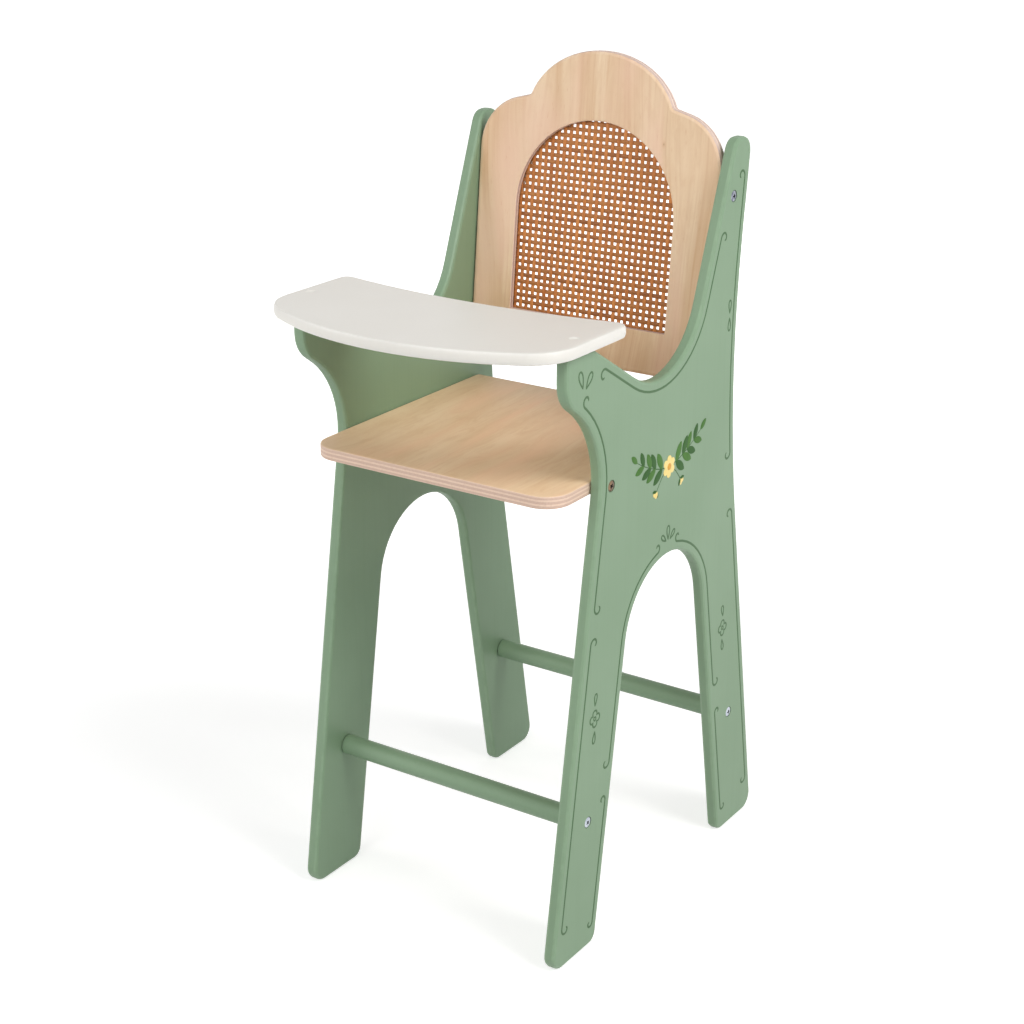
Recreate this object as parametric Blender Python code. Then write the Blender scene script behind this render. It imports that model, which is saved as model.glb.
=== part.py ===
"""Doll high chair with a lift-off tray.

Two shaped side boards carry a seat board, a backrest with a cane window and two dowel stretchers.
The tray stands on the arms with two pegs and lifts straight off.

Lengths are in metres and angles in radians. The chair faces -Y and stands on Z = 0. Left and right
are as seen from the front, so right is +X. A depth is measured from the front foot's toe towards
the back, and an outline's points are (depth, height) or (across, along the board).
"""

import math

import bmesh
import bpy
from mathutils import Euler, Matrix, Vector
from mathutils.geometry import delaunay_2d_cdt, intersect_line_sphere_2d

# Boards and fits
BOARD = 0.009
INNER_WIDTH = 0.2028
GAP = 0.0003
CUT_OVERRUN = 0.002
OUTLINE_TOLERANCE = 0.0001
EDGE_STEPS = 2

# Side boards: legs and arch
FOOT_SPREAD = 0.2977
FRONT_LEG_TILT = math.radians(8.93)
REAR_LEG_TILT = math.radians(10.3)
LEG_WIDTH = 0.0558
ARCH_BELOW_SEAT = 0.0791
TOE_RADIUS = 0.011
INNER_FOOT_RADIUS = 0.008
SIDE_EDGE_RADIUS = 0.0022

# Side boards: arm
ARM_ABOVE_SEAT = 0.0958
ARM_SETBACK = 0.0100
ARM_FLAT = 0.0306
ARM_NOSE = 0.0308
ARM_FRONT_RADIUS = 0.004
ARM_REAR_RADIUS = 0.020
NOSE_RADIUS = 0.024
UNDERARM_SLOPE = math.radians(33.2)
UNDERARM_RADIUS = 0.068

# Side boards: upright and scoop
UPRIGHT_ABOVE_SEAT = 0.201
UPRIGHT_SETBACK = 0.0484
UPRIGHT_TOP = 0.0234
UPRIGHT_TOP_RADIUS = 0.011
UPRIGHT_FRONT_TILT = math.radians(20.6)
UPRIGHT_REAR_TILT = math.radians(6.3)
BACK_CURVE_RADIUS = 0.72
SCOOP_SLOPE = math.radians(30.9)
SCOOP_RADIUS = 0.061

# Seat, set back from the heel's depth
SEAT_HEIGHT = 0.3468
SEAT_FRONT = 0.0116
SEAT_SETBACK = 0.0804
SEAT_FRONT_RADIUS = 0.019
SEAT_REAR_RADIUS = 0.003
SEAT_EDGE_RADIUS = 0.0012
SEAT_SCREW_INSET = 0.055
SEAT_DOWEL_INSET = 0.030

# Backrest: its front plane at the seat, set back from the heel's depth, and its outline
BACK_SETBACK = 0.0937
BACK_TILT = math.radians(5.58)
BACK_RAISE = 0.0273
BACK_HEIGHT = 0.2256
SHOULDER_DROP = 0.0756
SHOULDER_RADIUS = 0.0386
SHOULDER_END = math.radians(76)
CROWN_RISE = 0.050
CROWN_STEPS = 24
VALLEY_RADIUS = 0.003
BACK_FOOT_RADIUS = 0.003
BACK_EDGE_RADIUS = 0.0025
BACK_SCREW_DROP = 0.039
BACK_DOWEL_RISE = 0.030

# Window, its rebate from behind and the cane in it
WINDOW_WIDTH = 0.133
WINDOW_SILL = 0.032
WINDOW_HEADROOM = 0.0491
WINDOW_EDGE_RADIUS = 0.0006
LIP = 0.0042
REBATE_WIDTH = 0.008
CANE_THICKNESS = 0.0014
CANE_PITCH = 0.0081
CANE_HOLE = 0.0046
CANE_RIM = 0.0008

# Brads that hold the cane's frame
BRAD_RADIUS = 0.0006
BRAD_GRIP = 0.0022
BRAD_SIDES = 8
BRAD_SILL_SHARES = (-0.7, 0.0, 0.7)
BRAD_SIDE_SHARES = (0.2, 0.8)
BRAD_ARCH_ANGLES = (math.radians(45), math.radians(90), math.radians(135))

# Tray and its pegs
TRAY_OVERHANG = 0.0062
TRAY_DEPTH = 0.1227
TRAY_BEHIND_PEGS = 0.0526
TRAY_BOW_RADIUS = 0.205
TRAY_FRONT_RADIUS = 0.036
TRAY_REAR_RADIUS = 0.008
TRAY_HOLLOW = 0.0128
TRAY_HOLLOW_STEPS = 16
TRAY_EDGE_RADIUS = 0.0027
PEG_RADIUS = 0.0025
PEG_REACH = 0.014
PEG_SOCKET = 0.006
PEG_CLEARANCE = 0.0004
PEG_END_ROOM = 0.001

# Stretchers
STRETCHER_HEIGHT = 0.1008
STRETCHER_RADIUS = 0.0075
STRETCHER_CHAMFER = 0.0006
STRETCHER_SIDES = 32

# Screws and dowels
SCREW_HEAD_RADIUS = 0.004
SCREW_HEAD_FLAT = 0.0004
SCREW_HEAD_CONE = 0.0022
SCREW_SHAFT_RADIUS = 0.00175
SCREW_LENGTH = 0.030
SCREW_TIP = 0.003
SCREW_SINK = 0.0003
SOCKET_RADIUS = 0.0014
SOCKET_DEPTH = 0.0016
SCREW_SIDES = 16
DOWEL_RADIUS = 0.0025
DOWEL_IN_SIDE = 0.006
DOWEL_IN_BOARD = 0.018
DOWEL_CHAMFER = 0.0006
DOWEL_SIDES = 12

# Finishes: colour, roughness, metallic
GREEN_PAINT = ((0.29, 0.42, 0.28, 1.0), 0.45, 0.0)
CREAM_PAINT = ((0.80, 0.76, 0.68, 1.0), 0.40, 0.0)
PLYWOOD = ((0.68, 0.48, 0.29, 1.0), 0.50, 0.0)
BACK_WOOD = ((0.76, 0.57, 0.38, 1.0), 0.50, 0.0)
CANE = ((0.48, 0.22, 0.07, 1.0), 0.60, 0.0)
BEECH = ((0.70, 0.52, 0.33, 1.0), 0.60, 0.0)
ZINC = ((0.70, 0.71, 0.74, 1.0), 0.30, 1.0)
BRONZED = ((0.20, 0.14, 0.10, 1.0), 0.40, 1.0)

QUARTER_TURN = math.radians(90)
HALF_TURN = math.radians(180)
HALF_WIDTH = INNER_WIDTH / 2
BOARD_HALF_WIDTH = HALF_WIDTH - GAP
ARCH_HEIGHT = SEAT_HEIGHT - ARCH_BELOW_SEAT
ARM_HEIGHT = SEAT_HEIGHT + ARM_ABOVE_SEAT
UPRIGHT_HEIGHT = SEAT_HEIGHT + UPRIGHT_ABOVE_SEAT
SEAT_DEPTH = FOOT_SPREAD - SEAT_SETBACK - SEAT_FRONT
BACK_DEPTH = FOOT_SPREAD - BACK_SETBACK
BACK_SCREW_RISE = (UPRIGHT_ABOVE_SEAT - BACK_SCREW_DROP) / math.cos(BACK_TILT) - BACK_RAISE
CROWN_HALF_WIDTH = BOARD_HALF_WIDTH - SHOULDER_RADIUS
SHOULDER_HEIGHT = BACK_HEIGHT - SHOULDER_DROP
WINDOW_STRAIGHT = BACK_HEIGHT - WINDOW_HEADROOM - WINDOW_WIDTH / 2 - WINDOW_SILL
TRAY_HALF_WIDTH = HALF_WIDTH + BOARD + TRAY_OVERHANG
PEG_DEPTH = ARM_SETBACK + ARM_FLAT / 2
PEG_ACROSS = HALF_WIDTH + BOARD / 2
BACK_MATRIX = (
    Matrix.Translation((
        0,
        BACK_DEPTH + BACK_RAISE * math.sin(BACK_TILT),
        SEAT_HEIGHT + BACK_RAISE * math.cos(BACK_TILT),
    ))
    @ Matrix.Rotation(QUARTER_TURN - BACK_TILT, 4, "X")
)


# Outlines

def leaning(depth, height, tilt):
    """A line through a point, as that point and a direction that leans back from the vertical."""
    return Vector((depth, height)), Vector((math.sin(tilt), math.cos(tilt)))


def crossing(line, other):
    """The point where two lines meet."""
    point, along = line
    start, way = other
    return point + along * ((start - point).cross(way) / along.cross(way))


def unscaled(point, sizes):
    """A point in units of two half axes, so that their oval becomes a circle of one unit."""
    return Vector((point.x / sizes.x, point.y / sizes.y))


def arc(centre, start, turn):
    """Points from start round centre by a signed angle, close enough to the true arc."""
    arm = start - centre
    step = 2 * math.acos(max(1 - OUTLINE_TOLERANCE / arm.length, 0))
    steps = max(math.ceil(abs(turn) / step), 2)
    return [centre + Matrix.Rotation(turn * index / steps, 2) @ arm for index in range(steps + 1)]


def rounded(corners):
    """The closed outline through counter-clockwise corners, each given as a point and a radius.

    Two fillets that would overlap on the edge between them both shrink until they just meet.
    """
    count = len(corners)
    points = [point for point, radius in corners]
    edges = [points[(index + 1) % count] - points[index] for index in range(count)]
    turns = [
        math.atan2(edges[index - 1].cross(edges[index]), edges[index - 1].dot(edges[index]))
        for index in range(count)
    ]
    reaches = [corners[index][1] * math.tan(abs(turns[index]) / 2) for index in range(count)]
    crowding = [
        max((reaches[index] + reaches[(index + 1) % count]) / edges[index].length, 1)
        for index in range(count)
    ]
    outline = []
    for index, (point, radius) in enumerate(corners):
        shrink = max(crowding[index - 1], crowding[index])
        if radius == 0 or turns[index] == 0:
            outline.append(point.copy())
            continue
        along = edges[index - 1].normalized()
        start = point - along * reaches[index] / shrink
        inward = Vector((-along.y, along.x)) * math.copysign(radius / shrink, turns[index])
        outline.extend(arc(start + inward, start, turns[index]))
    least = OUTLINE_TOLERANCE / 10
    return [
        point for index, point in enumerate(outline) if (point - outline[index - 1]).length > least
    ]


def inset(outline, distance):
    """A counter-clockwise outline moved inwards by a distance, point by point."""
    count = len(outline)
    moved = []
    for index, point in enumerate(outline):
        before = (point - outline[index - 1]).normalized()
        after = (outline[(index + 1) % count] - point).normalized()
        side = Vector((-before.y, before.x))
        inward = (side + Vector((-after.y, after.x))).normalized()
        moved.append(point + inward * distance / inward.dot(side))
    return moved


def side_outline():
    """A side board: two legs round an arch, an arm with a rounded nose, a scoop and an upright."""
    front_edge = leaning(0, 0, FRONT_LEG_TILT)
    front_inner = leaning(LEG_WIDTH / math.cos(FRONT_LEG_TILT), 0, FRONT_LEG_TILT)
    rear_edge = leaning(FOOT_SPREAD, 0, -REAR_LEG_TILT)
    rear_inner = leaning(FOOT_SPREAD - LEG_WIDTH / math.cos(REAR_LEG_TILT), 0, -REAR_LEG_TILT)
    upright_rear = leaning(FOOT_SPREAD - UPRIGHT_SETBACK, UPRIGHT_HEIGHT, UPRIGHT_REAR_TILT)
    upright_front = leaning(
        FOOT_SPREAD - UPRIGHT_SETBACK - UPRIGHT_TOP, UPRIGHT_HEIGHT, UPRIGHT_FRONT_TILT
    )
    scoop_slope = leaning(ARM_SETBACK + ARM_FLAT, ARM_HEIGHT, QUARTER_TURN + SCOOP_SLOPE)
    underarm = leaning(ARM_SETBACK, ARM_HEIGHT - ARM_NOSE, QUARTER_TURN + UNDERARM_SLOPE)
    peak = crossing(front_inner, rear_inner)
    half_angle = (FRONT_LEG_TILT + REAR_LEG_TILT) / 2
    lean = (REAR_LEG_TILT - FRONT_LEG_TILT) / 2
    arch_radius = (peak.y - ARCH_HEIGHT) / (math.cos(lean) / math.sin(half_angle) - 1)
    return rounded([
        (front_edge[0], TOE_RADIUS),
        (front_inner[0], INNER_FOOT_RADIUS),
        (peak, arch_radius),
        (rear_inner[0], INNER_FOOT_RADIUS),
        (rear_edge[0], TOE_RADIUS),
        (crossing(rear_edge, upright_rear), BACK_CURVE_RADIUS),
        (upright_rear[0], UPRIGHT_TOP_RADIUS),
        (upright_front[0], UPRIGHT_TOP_RADIUS),
        (crossing(upright_front, scoop_slope), SCOOP_RADIUS),
        (scoop_slope[0], ARM_REAR_RADIUS),
        (Vector((ARM_SETBACK, ARM_HEIGHT)), ARM_FRONT_RADIUS),
        (underarm[0], NOSE_RADIUS),
        (crossing(underarm, front_edge), UNDERARM_RADIUS),
    ])


def seat_outline():
    """The seat board from its front edge back, with wide front corners."""
    return rounded([
        (Vector((-BOARD_HALF_WIDTH, 0)), SEAT_FRONT_RADIUS),
        (Vector((BOARD_HALF_WIDTH, 0)), SEAT_FRONT_RADIUS),
        (Vector((BOARD_HALF_WIDTH, SEAT_DEPTH)), SEAT_REAR_RADIUS),
        (Vector((-BOARD_HALF_WIDTH, SEAT_DEPTH)), SEAT_REAR_RADIUS),
    ])


def backrest_outline():
    """The backrest from its lower edge up: straight sides, round shoulders and an oval crown."""
    shoulder = Vector((CROWN_HALF_WIDTH, SHOULDER_HEIGHT))
    shoulder_arc = arc(shoulder, shoulder + Vector((SHOULDER_RADIUS, 0)), SHOULDER_END)
    crown_centre = Vector((0, BACK_HEIGHT - CROWN_RISE))
    oval = Vector((CROWN_HALF_WIDTH, CROWN_RISE))
    start = unscaled(shoulder_arc[-1] - crown_centre, oval)
    way = unscaled(Vector((-math.sin(SHOULDER_END), math.cos(SHOULDER_END))), oval)
    meetings = intersect_line_sphere_2d(start, start + way, Vector((0, 0)), 1, False)
    valley = max(meetings, key=lambda point: point.x)
    valley_angle = math.atan2(valley.y, valley.x)
    crown = []
    for index in range(CROWN_STEPS + 1):
        angle = valley_angle + (HALF_TURN - 2 * valley_angle) * index / CROWN_STEPS
        radius = VALLEY_RADIUS if index in (0, CROWN_STEPS) else 0
        point = crown_centre + Vector((oval.x * math.cos(angle), oval.y * math.sin(angle)))
        crown.append((point, radius))
    right_half = [(Vector((BOARD_HALF_WIDTH, 0)), BACK_FOOT_RADIUS)]
    right_half += [(point, 0) for point in shoulder_arc]
    left_half = [(Vector((-point.x, point.y)), radius) for point, radius in reversed(right_half)]
    return rounded(right_half + crown + left_half)


def window_outline(margin):
    """The arched window, grown by a margin all round."""
    half = WINDOW_WIDTH / 2 + margin
    spring = WINDOW_SILL + WINDOW_STRAIGHT
    sill = WINDOW_SILL - margin
    arch = arc(Vector((0, spring)), Vector((half, spring)), HALF_TURN)
    return [Vector((-half, sill)), Vector((half, sill))] + arch


def tray_outline():
    """The tray about the line of its pegs: bowed front, straight sides and a hollow rear edge."""
    bow_centre = Vector((0, TRAY_BEHIND_PEGS - TRAY_DEPTH + TRAY_BOW_RADIUS))
    reach = TRAY_BOW_RADIUS - TRAY_FRONT_RADIUS
    swing = math.asin((TRAY_HALF_WIDTH - TRAY_FRONT_RADIUS) / reach)
    right_way = Vector((math.sin(swing), -math.cos(swing)))
    left_way = Vector((-right_way.x, right_way.y))
    left_corner = bow_centre + left_way * reach
    right_corner = bow_centre + right_way * reach
    left_side = left_corner - Vector((TRAY_FRONT_RADIUS, 0))
    front = arc(left_corner, left_side, QUARTER_TURN - swing)
    front += arc(bow_centre, bow_centre + left_way * TRAY_BOW_RADIUS, 2 * swing)[1:]
    right_start = right_corner + right_way * TRAY_FRONT_RADIUS
    front += arc(right_corner, right_start, QUARTER_TURN - swing)[1:]
    corners = [(point, 0) for point in front]
    for index in range(TRAY_HOLLOW_STEPS + 1):
        share = 1 - 2 * index / TRAY_HOLLOW_STEPS
        drawn_in = TRAY_HOLLOW * (1 - share ** 2)
        radius = TRAY_REAR_RADIUS if abs(share) == 1 else 0
        corners.append((Vector((TRAY_HALF_WIDTH * share, TRAY_BEHIND_PEGS - drawn_in)), radius))
    return rounded(corners)


def cane_holes():
    """Square openings of the cane, in rows and columns centred in the window."""
    spring = WINDOW_SILL + WINDOW_STRAIGHT
    reach = WINDOW_WIDTH / 2 - CANE_RIM
    columns = math.floor((2 * reach + CANE_PITCH - CANE_HOLE) / CANE_PITCH)
    height = WINDOW_STRAIGHT + 2 * reach - WINDOW_WIDTH / 2
    rows = math.floor((height + CANE_PITCH - CANE_HOLE) / CANE_PITCH)
    half = CANE_HOLE / 2
    middle = WINDOW_SILL + CANE_RIM + height / 2
    holes = []
    for row in range(rows):
        along = middle + (row - (rows - 1) / 2) * CANE_PITCH
        for column in range(columns):
            across = (column - (columns - 1) / 2) * CANE_PITCH
            far_corner = Vector((abs(across) + half, max(along + half - spring, 0)))
            if far_corner.length <= reach:
                square = ((-half, -half), (half, -half), (half, half), (-half, half))
                holes.append([Vector((across + x, along + y)) for x, y in square])
    return holes


def brad_places():
    """Places of the brads along the middle of the cane's frame."""
    middle = WINDOW_WIDTH / 2 + REBATE_WIDTH / 2
    spring = WINDOW_SILL + WINDOW_STRAIGHT
    sill = WINDOW_SILL - REBATE_WIDTH / 2
    places = [Vector((middle * share, sill)) for share in BRAD_SILL_SHARES]
    for share in BRAD_SIDE_SHARES:
        height = WINDOW_SILL + WINDOW_STRAIGHT * share
        places += [Vector((-middle, height)), Vector((middle, height))]
    for angle in BRAD_ARCH_ANGLES:
        places.append(Vector((middle * math.cos(angle), spring + middle * math.sin(angle))))
    return places


# Turned profiles, as (radius, height) from the lower end up

def pin_profile(radius, low, high, chamfer):
    """A round pin with chamfered ends."""
    return [
        (0, low), (radius - chamfer, low), (radius, low + chamfer),
        (radius, high - chamfer), (radius - chamfer, high), (0, high),
    ]


def hole_profile(radius, low, high):
    """A plain round hole."""
    return [(0, low), (radius, low), (radius, high), (0, high)]


def screw_profile():
    """A countersunk screw with its head's top at height zero and a round socket in it."""
    return [
        (0, -SCREW_LENGTH),
        (SCREW_SHAFT_RADIUS, -SCREW_LENGTH + SCREW_TIP),
        (SCREW_SHAFT_RADIUS, -SCREW_HEAD_FLAT - SCREW_HEAD_CONE),
        (SCREW_HEAD_RADIUS, -SCREW_HEAD_FLAT),
        (SCREW_HEAD_RADIUS, 0),
        (SOCKET_RADIUS, 0),
        (SOCKET_RADIUS, -SOCKET_DEPTH),
        (0, -SOCKET_DEPTH),
    ]


def screw_hole_profile():
    """The screw's hole with a gap all round, open past the board's face."""
    shaft = SCREW_SHAFT_RADIUS + GAP
    head = SCREW_HEAD_RADIUS + GAP
    return [
        (0, -SCREW_LENGTH - GAP),
        (shaft, -SCREW_LENGTH - GAP),
        (shaft, -SCREW_HEAD_FLAT - SCREW_HEAD_CONE - GAP),
        (head, -SCREW_HEAD_FLAT - GAP),
        (head, SCREW_SINK + CUT_OVERRUN),
        (0, SCREW_SINK + CUT_OVERRUN),
    ]


# Meshes

def add_turned(shape, profile, sides, place=None):
    """Adds a closed turned solid about Z to a bmesh, moved by a matrix."""
    place = place or Matrix.Identity(4)
    rings = []
    for radius, height in profile:
        if radius == 0:
            rings.append([shape.verts.new(place @ Vector((0, 0, height)))])
            continue
        ring = []
        for index in range(sides):
            angle = 2 * math.pi * index / sides
            spoke = Vector((radius * math.cos(angle), radius * math.sin(angle), height))
            ring.append(shape.verts.new(place @ spoke))
        rings.append(ring)
    for lower, upper in zip(rings, rings[1:]):
        for index in range(sides):
            following = (index + 1) % sides
            if len(lower) == 1:
                shape.faces.new((lower[0], upper[following], upper[index]))
            elif len(upper) == 1:
                shape.faces.new((lower[index], lower[following], upper[0]))
            else:
                shape.faces.new((lower[index], lower[following], upper[following], upper[index]))


def edge_rings(outline, low, high, radius):
    """Copies of an outline that go up round both rims of a board, each as points and a height."""
    if radius == 0:
        return [(outline, low), (outline, high)]
    lower = []
    for index in range(EDGE_STEPS + 1):
        angle = QUARTER_TURN * index / EDGE_STEPS
        drawn_in = abs(radius) * (1 - math.cos(angle))
        lower.append((inset(outline, radius * (1 - math.sin(angle))), drawn_in))
    rings = [(points, low + rise) for points, rise in lower]
    return rings + [(points, high - rise) for points, rise in reversed(lower)]


def add_board(shape, loops, low, high):
    """Adds a board to a bmesh: an outer outline and then holes, each with its rims' radius."""
    ends = []
    for number, (outline, radius) in enumerate(loops):
        inward = radius if number == 0 else -radius
        rings = []
        for points, height in edge_rings(outline, low, high, inward):
            rings.append([shape.verts.new((point.x, point.y, height)) for point in points])
        for lower, upper in zip(rings, rings[1:]):
            for index in range(len(outline)):
                following = (index + 1) % len(outline)
                shape.faces.new((lower[index], lower[following], upper[following], upper[index]))
        ends.append((rings[0], rings[-1]))
    lows = [vert for end in ends for vert in end[0]]
    highs = [vert for end in ends for vert in end[1]]
    loops_of_indices = []
    for end in ends:
        start = sum(len(loop) for loop in loops_of_indices)
        loops_of_indices.append(list(range(start, start + len(end[0]))))
    flat = [vert.co.xy for vert in lows]
    result = delaunay_2d_cdt(flat, [], loops_of_indices, 2, 0)
    for triangle in result[2]:
        corners = [result[3][index][0] for index in triangle]
        shape.faces.new([highs[index] for index in corners])
        shape.faces.new([lows[index] for index in reversed(corners)])


def finished_mesh(shape, name, smooth_angle=math.radians(35)):
    """A mesh from a bmesh, with faces out and round stretches shaded smooth."""
    bmesh.ops.recalc_face_normals(shape, faces=shape.faces)
    mesh = bpy.data.meshes.new(name)
    shape.to_mesh(mesh)
    shape.free()
    mesh.shade_smooth()
    mesh.set_sharp_from_angle(angle=smooth_angle)
    return mesh


def board_mesh(name, loops, low, high):
    """The mesh of one board."""
    shape = bmesh.new()
    add_board(shape, loops, low, high)
    return finished_mesh(shape, name)


def turned_mesh(name, profile, sides, places=(None,)):
    """The mesh of one turned solid, or of several alike at given places."""
    shape = bmesh.new()
    for place in places:
        add_turned(shape, profile, sides, place)
    return finished_mesh(shape, name)


# Objects

def make_material(name, finish):
    """A Principled material from a colour, a roughness and a metallic value."""
    color, roughness, metallic = finish
    material = bpy.data.materials.new(name)
    material.use_nodes = True
    shader = material.node_tree.nodes["Principled BSDF"]
    shader.inputs["Base Color"].default_value = color
    shader.inputs["Roughness"].default_value = roughness
    shader.inputs["Metallic"].default_value = metallic
    material.diffuse_color = color
    return material


def make_empty(name, parent=None, location=(0, 0, 0), rotation=(0, 0, 0)):
    """An empty that carries other objects."""
    empty = bpy.data.objects.new(name, None)
    empty.location = location
    empty.rotation_euler = rotation
    empty.parent = parent
    bpy.context.collection.objects.link(empty)
    return empty


def make_piece(mesh, name, finish, parent, location=(0, 0, 0), rotation=(0, 0, 0)):
    """An object for one sub-part, with a material of its own."""
    piece = bpy.data.objects.new(name, mesh)
    piece.location = location
    piece.rotation_euler = rotation
    piece.parent = parent
    if not mesh.materials:
        mesh.materials.append(None)
    piece.material_slots[0].link = "OBJECT"
    bpy.context.collection.objects.link(piece)
    piece.material_slots[0].material = make_material(name, finish)
    return piece


def make_cutter(mesh, name, parent):
    """A hidden shape that Boolean modifiers take away."""
    cutter = bpy.data.objects.new(name, mesh)
    cutter.parent = parent
    cutter.hide_render = True
    cutter.display_type = "WIRE"
    bpy.context.collection.objects.link(cutter)
    return cutter


def cut(piece, *cutters):
    """Takes cutters away from a piece."""
    for cutter in cutters:
        modifier = piece.modifiers.new(cutter.name, "BOOLEAN")
        modifier.operation = "DIFFERENCE"
        modifier.solver = "EXACT"
        modifier.object = cutter


# Fixings

def outward_turn(side):
    """The turn that takes local +Z to a side board's outward direction."""
    return Euler((0, side * QUARTER_TURN, 0))


def leg_middle(height, front):
    """The depth of a leg's centre line at a height."""
    half = LEG_WIDTH / 2
    if front:
        return height * math.tan(FRONT_LEG_TILT) + half / math.cos(FRONT_LEG_TILT)
    return FOOT_SPREAD - height * math.tan(REAR_LEG_TILT) - half / math.cos(REAR_LEG_TILT)


def screw_places():
    """Each screw's name, its (depth, height) on a side board and its finish."""
    back = BACK_MATRIX @ Vector((0, BACK_SCREW_RISE, -BOARD / 2))
    return (
        ("front_stretcher_screw", leg_middle(STRETCHER_HEIGHT, True), STRETCHER_HEIGHT, ZINC),
        ("rear_stretcher_screw", leg_middle(STRETCHER_HEIGHT, False), STRETCHER_HEIGHT, ZINC),
        ("seat_screw", SEAT_FRONT + SEAT_SCREW_INSET, SEAT_HEIGHT - BOARD / 2, BRONZED),
        ("backrest_screw", back.y, back.z, BRONZED),
    )


def dowel_places():
    """Each hidden dowel's name and its (depth, height) on a side board."""
    back = BACK_MATRIX @ Vector((0, BACK_DOWEL_RISE, -BOARD / 2))
    seat_depth = SEAT_FRONT + SEAT_DEPTH - SEAT_DOWEL_INSET
    return (
        ("seat_dowel", seat_depth, SEAT_HEIGHT - BOARD / 2),
        ("backrest_dowel", back.y, back.z),
    )


def make_fixing_cutter(chair, side, label):
    """Holes for the screws and dowels of one side, with a gap all round."""
    shape = bmesh.new()
    turn = outward_turn(side).to_matrix().to_4x4()
    face = side * (HALF_WIDTH + BOARD - SCREW_SINK)
    for name, depth, height, finish in screw_places():
        place = Matrix.Translation((face, depth, height)) @ turn
        add_turned(shape, screw_hole_profile(), SCREW_SIDES, place)
    profile = hole_profile(DOWEL_RADIUS + GAP, -DOWEL_IN_BOARD - GAP, DOWEL_IN_SIDE + GAP)
    for name, depth, height in dowel_places():
        place = Matrix.Translation((side * HALF_WIDTH, depth, height)) @ turn
        add_turned(shape, profile, DOWEL_SIDES, place)
    return make_cutter(finished_mesh(shape, "fixing_cuts_" + label), "fixing_cuts_" + label, chair)


def make_fixings(chair, side, label):
    """The screws and dowels of one side."""
    turn = outward_turn(side)
    face = side * (HALF_WIDTH + BOARD - SCREW_SINK)
    for name, depth, height, finish in screw_places():
        mesh = turned_mesh(name + "_" + label, screw_profile(), SCREW_SIDES)
        make_piece(mesh, name + "_" + label, finish, chair, (face, depth, height), turn)
    profile = pin_profile(DOWEL_RADIUS, -DOWEL_IN_BOARD, DOWEL_IN_SIDE, DOWEL_CHAMFER)
    for name, depth, height in dowel_places():
        mesh = turned_mesh(name + "_" + label, profile, DOWEL_SIDES)
        make_piece(mesh, name + "_" + label, BEECH, chair, (side * HALF_WIDTH, depth, height), turn)


# Sub-parts

def make_side(chair, side, label, cutters):
    """One side board, standing in the YZ plane outside the seat's width."""
    low = HALF_WIDTH if side > 0 else -HALF_WIDTH - BOARD
    loops = [(side_outline(), SIDE_EDGE_RADIUS)]
    mesh = board_mesh(label + "_side_panel", loops, low, low + BOARD)
    turn = (QUARTER_TURN, 0, QUARTER_TURN)
    piece = make_piece(mesh, label + "_side_panel", GREEN_PAINT, chair, rotation=turn)
    cut(piece, *cutters)


def make_seat(chair, cutters):
    """The seat board between the side boards."""
    mesh = board_mesh("seat_board", [(seat_outline(), SEAT_EDGE_RADIUS)], 0, BOARD)
    place = (0, SEAT_FRONT, SEAT_HEIGHT - BOARD)
    cut(make_piece(mesh, "seat_board", PLYWOOD, chair, place), *cutters)


def make_stretchers(chair, cutters):
    """Two dowels between the legs."""
    profile = pin_profile(STRETCHER_RADIUS, -BOARD_HALF_WIDTH, BOARD_HALF_WIDTH, STRETCHER_CHAMFER)
    for name, front in (("front_stretcher", True), ("rear_stretcher", False)):
        place = (0, leg_middle(STRETCHER_HEIGHT, front), STRETCHER_HEIGHT)
        mesh = turned_mesh(name, profile, STRETCHER_SIDES)
        cut(make_piece(mesh, name, GREEN_PAINT, chair, place, outward_turn(1)), *cutters)


def make_backrest(chair, cutters):
    """The backrest board with the cane and its frame in a rebate behind the window."""
    plane = make_empty("backrest_plane", chair)
    plane.matrix_local = BACK_MATRIX
    rebate_mesh = board_mesh(
        "rebate_cut", [(window_outline(REBATE_WIDTH), 0)], -BOARD - CUT_OVERRUN, -LIP
    )
    rebate_cut = make_cutter(rebate_mesh, "rebate_cut", plane)
    places = [Matrix.Translation((place.x, place.y, 0)) for place in brad_places()]
    brad_tip = -LIP + BRAD_GRIP
    brad_hole = hole_profile(BRAD_RADIUS + GAP, -BOARD - CUT_OVERRUN, brad_tip + GAP)
    brad_cut = make_cutter(
        turned_mesh("brad_cuts", brad_hole, BRAD_SIDES, places), "brad_cuts", plane
    )

    loops = [(backrest_outline(), BACK_EDGE_RADIUS), (window_outline(0), WINDOW_EDGE_RADIUS)]
    mesh = board_mesh("backrest_panel", loops, -BOARD, 0)
    panel = make_piece(mesh, "backrest_panel", BACK_WOOD, plane)
    cut(panel, rebate_cut, brad_cut, *cutters)

    cane_face = -LIP - GAP
    cane_back = cane_face - CANE_THICKNESS
    cane_loops = [(window_outline(REBATE_WIDTH - GAP), 0)] + [(hole, 0) for hole in cane_holes()]
    mesh = board_mesh("cane_webbing", cane_loops, cane_back, cane_face)
    cut(make_piece(mesh, "cane_webbing", CANE, plane), brad_cut)

    frame_loops = [(window_outline(REBATE_WIDTH - GAP), 0), (window_outline(0), 0)]
    mesh = board_mesh("cane_retaining_frame", frame_loops, -BOARD, cane_back - GAP)
    cut(make_piece(mesh, "cane_retaining_frame", BACK_WOOD, plane), brad_cut)

    mesh = turned_mesh("cane_frame_brad", hole_profile(BRAD_RADIUS, -BOARD, brad_tip), BRAD_SIDES)
    for number, place in enumerate(places, start=1):
        name = f"cane_frame_brad_{number}"
        make_piece(mesh, name, ZINC, plane, place.to_translation())


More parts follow.
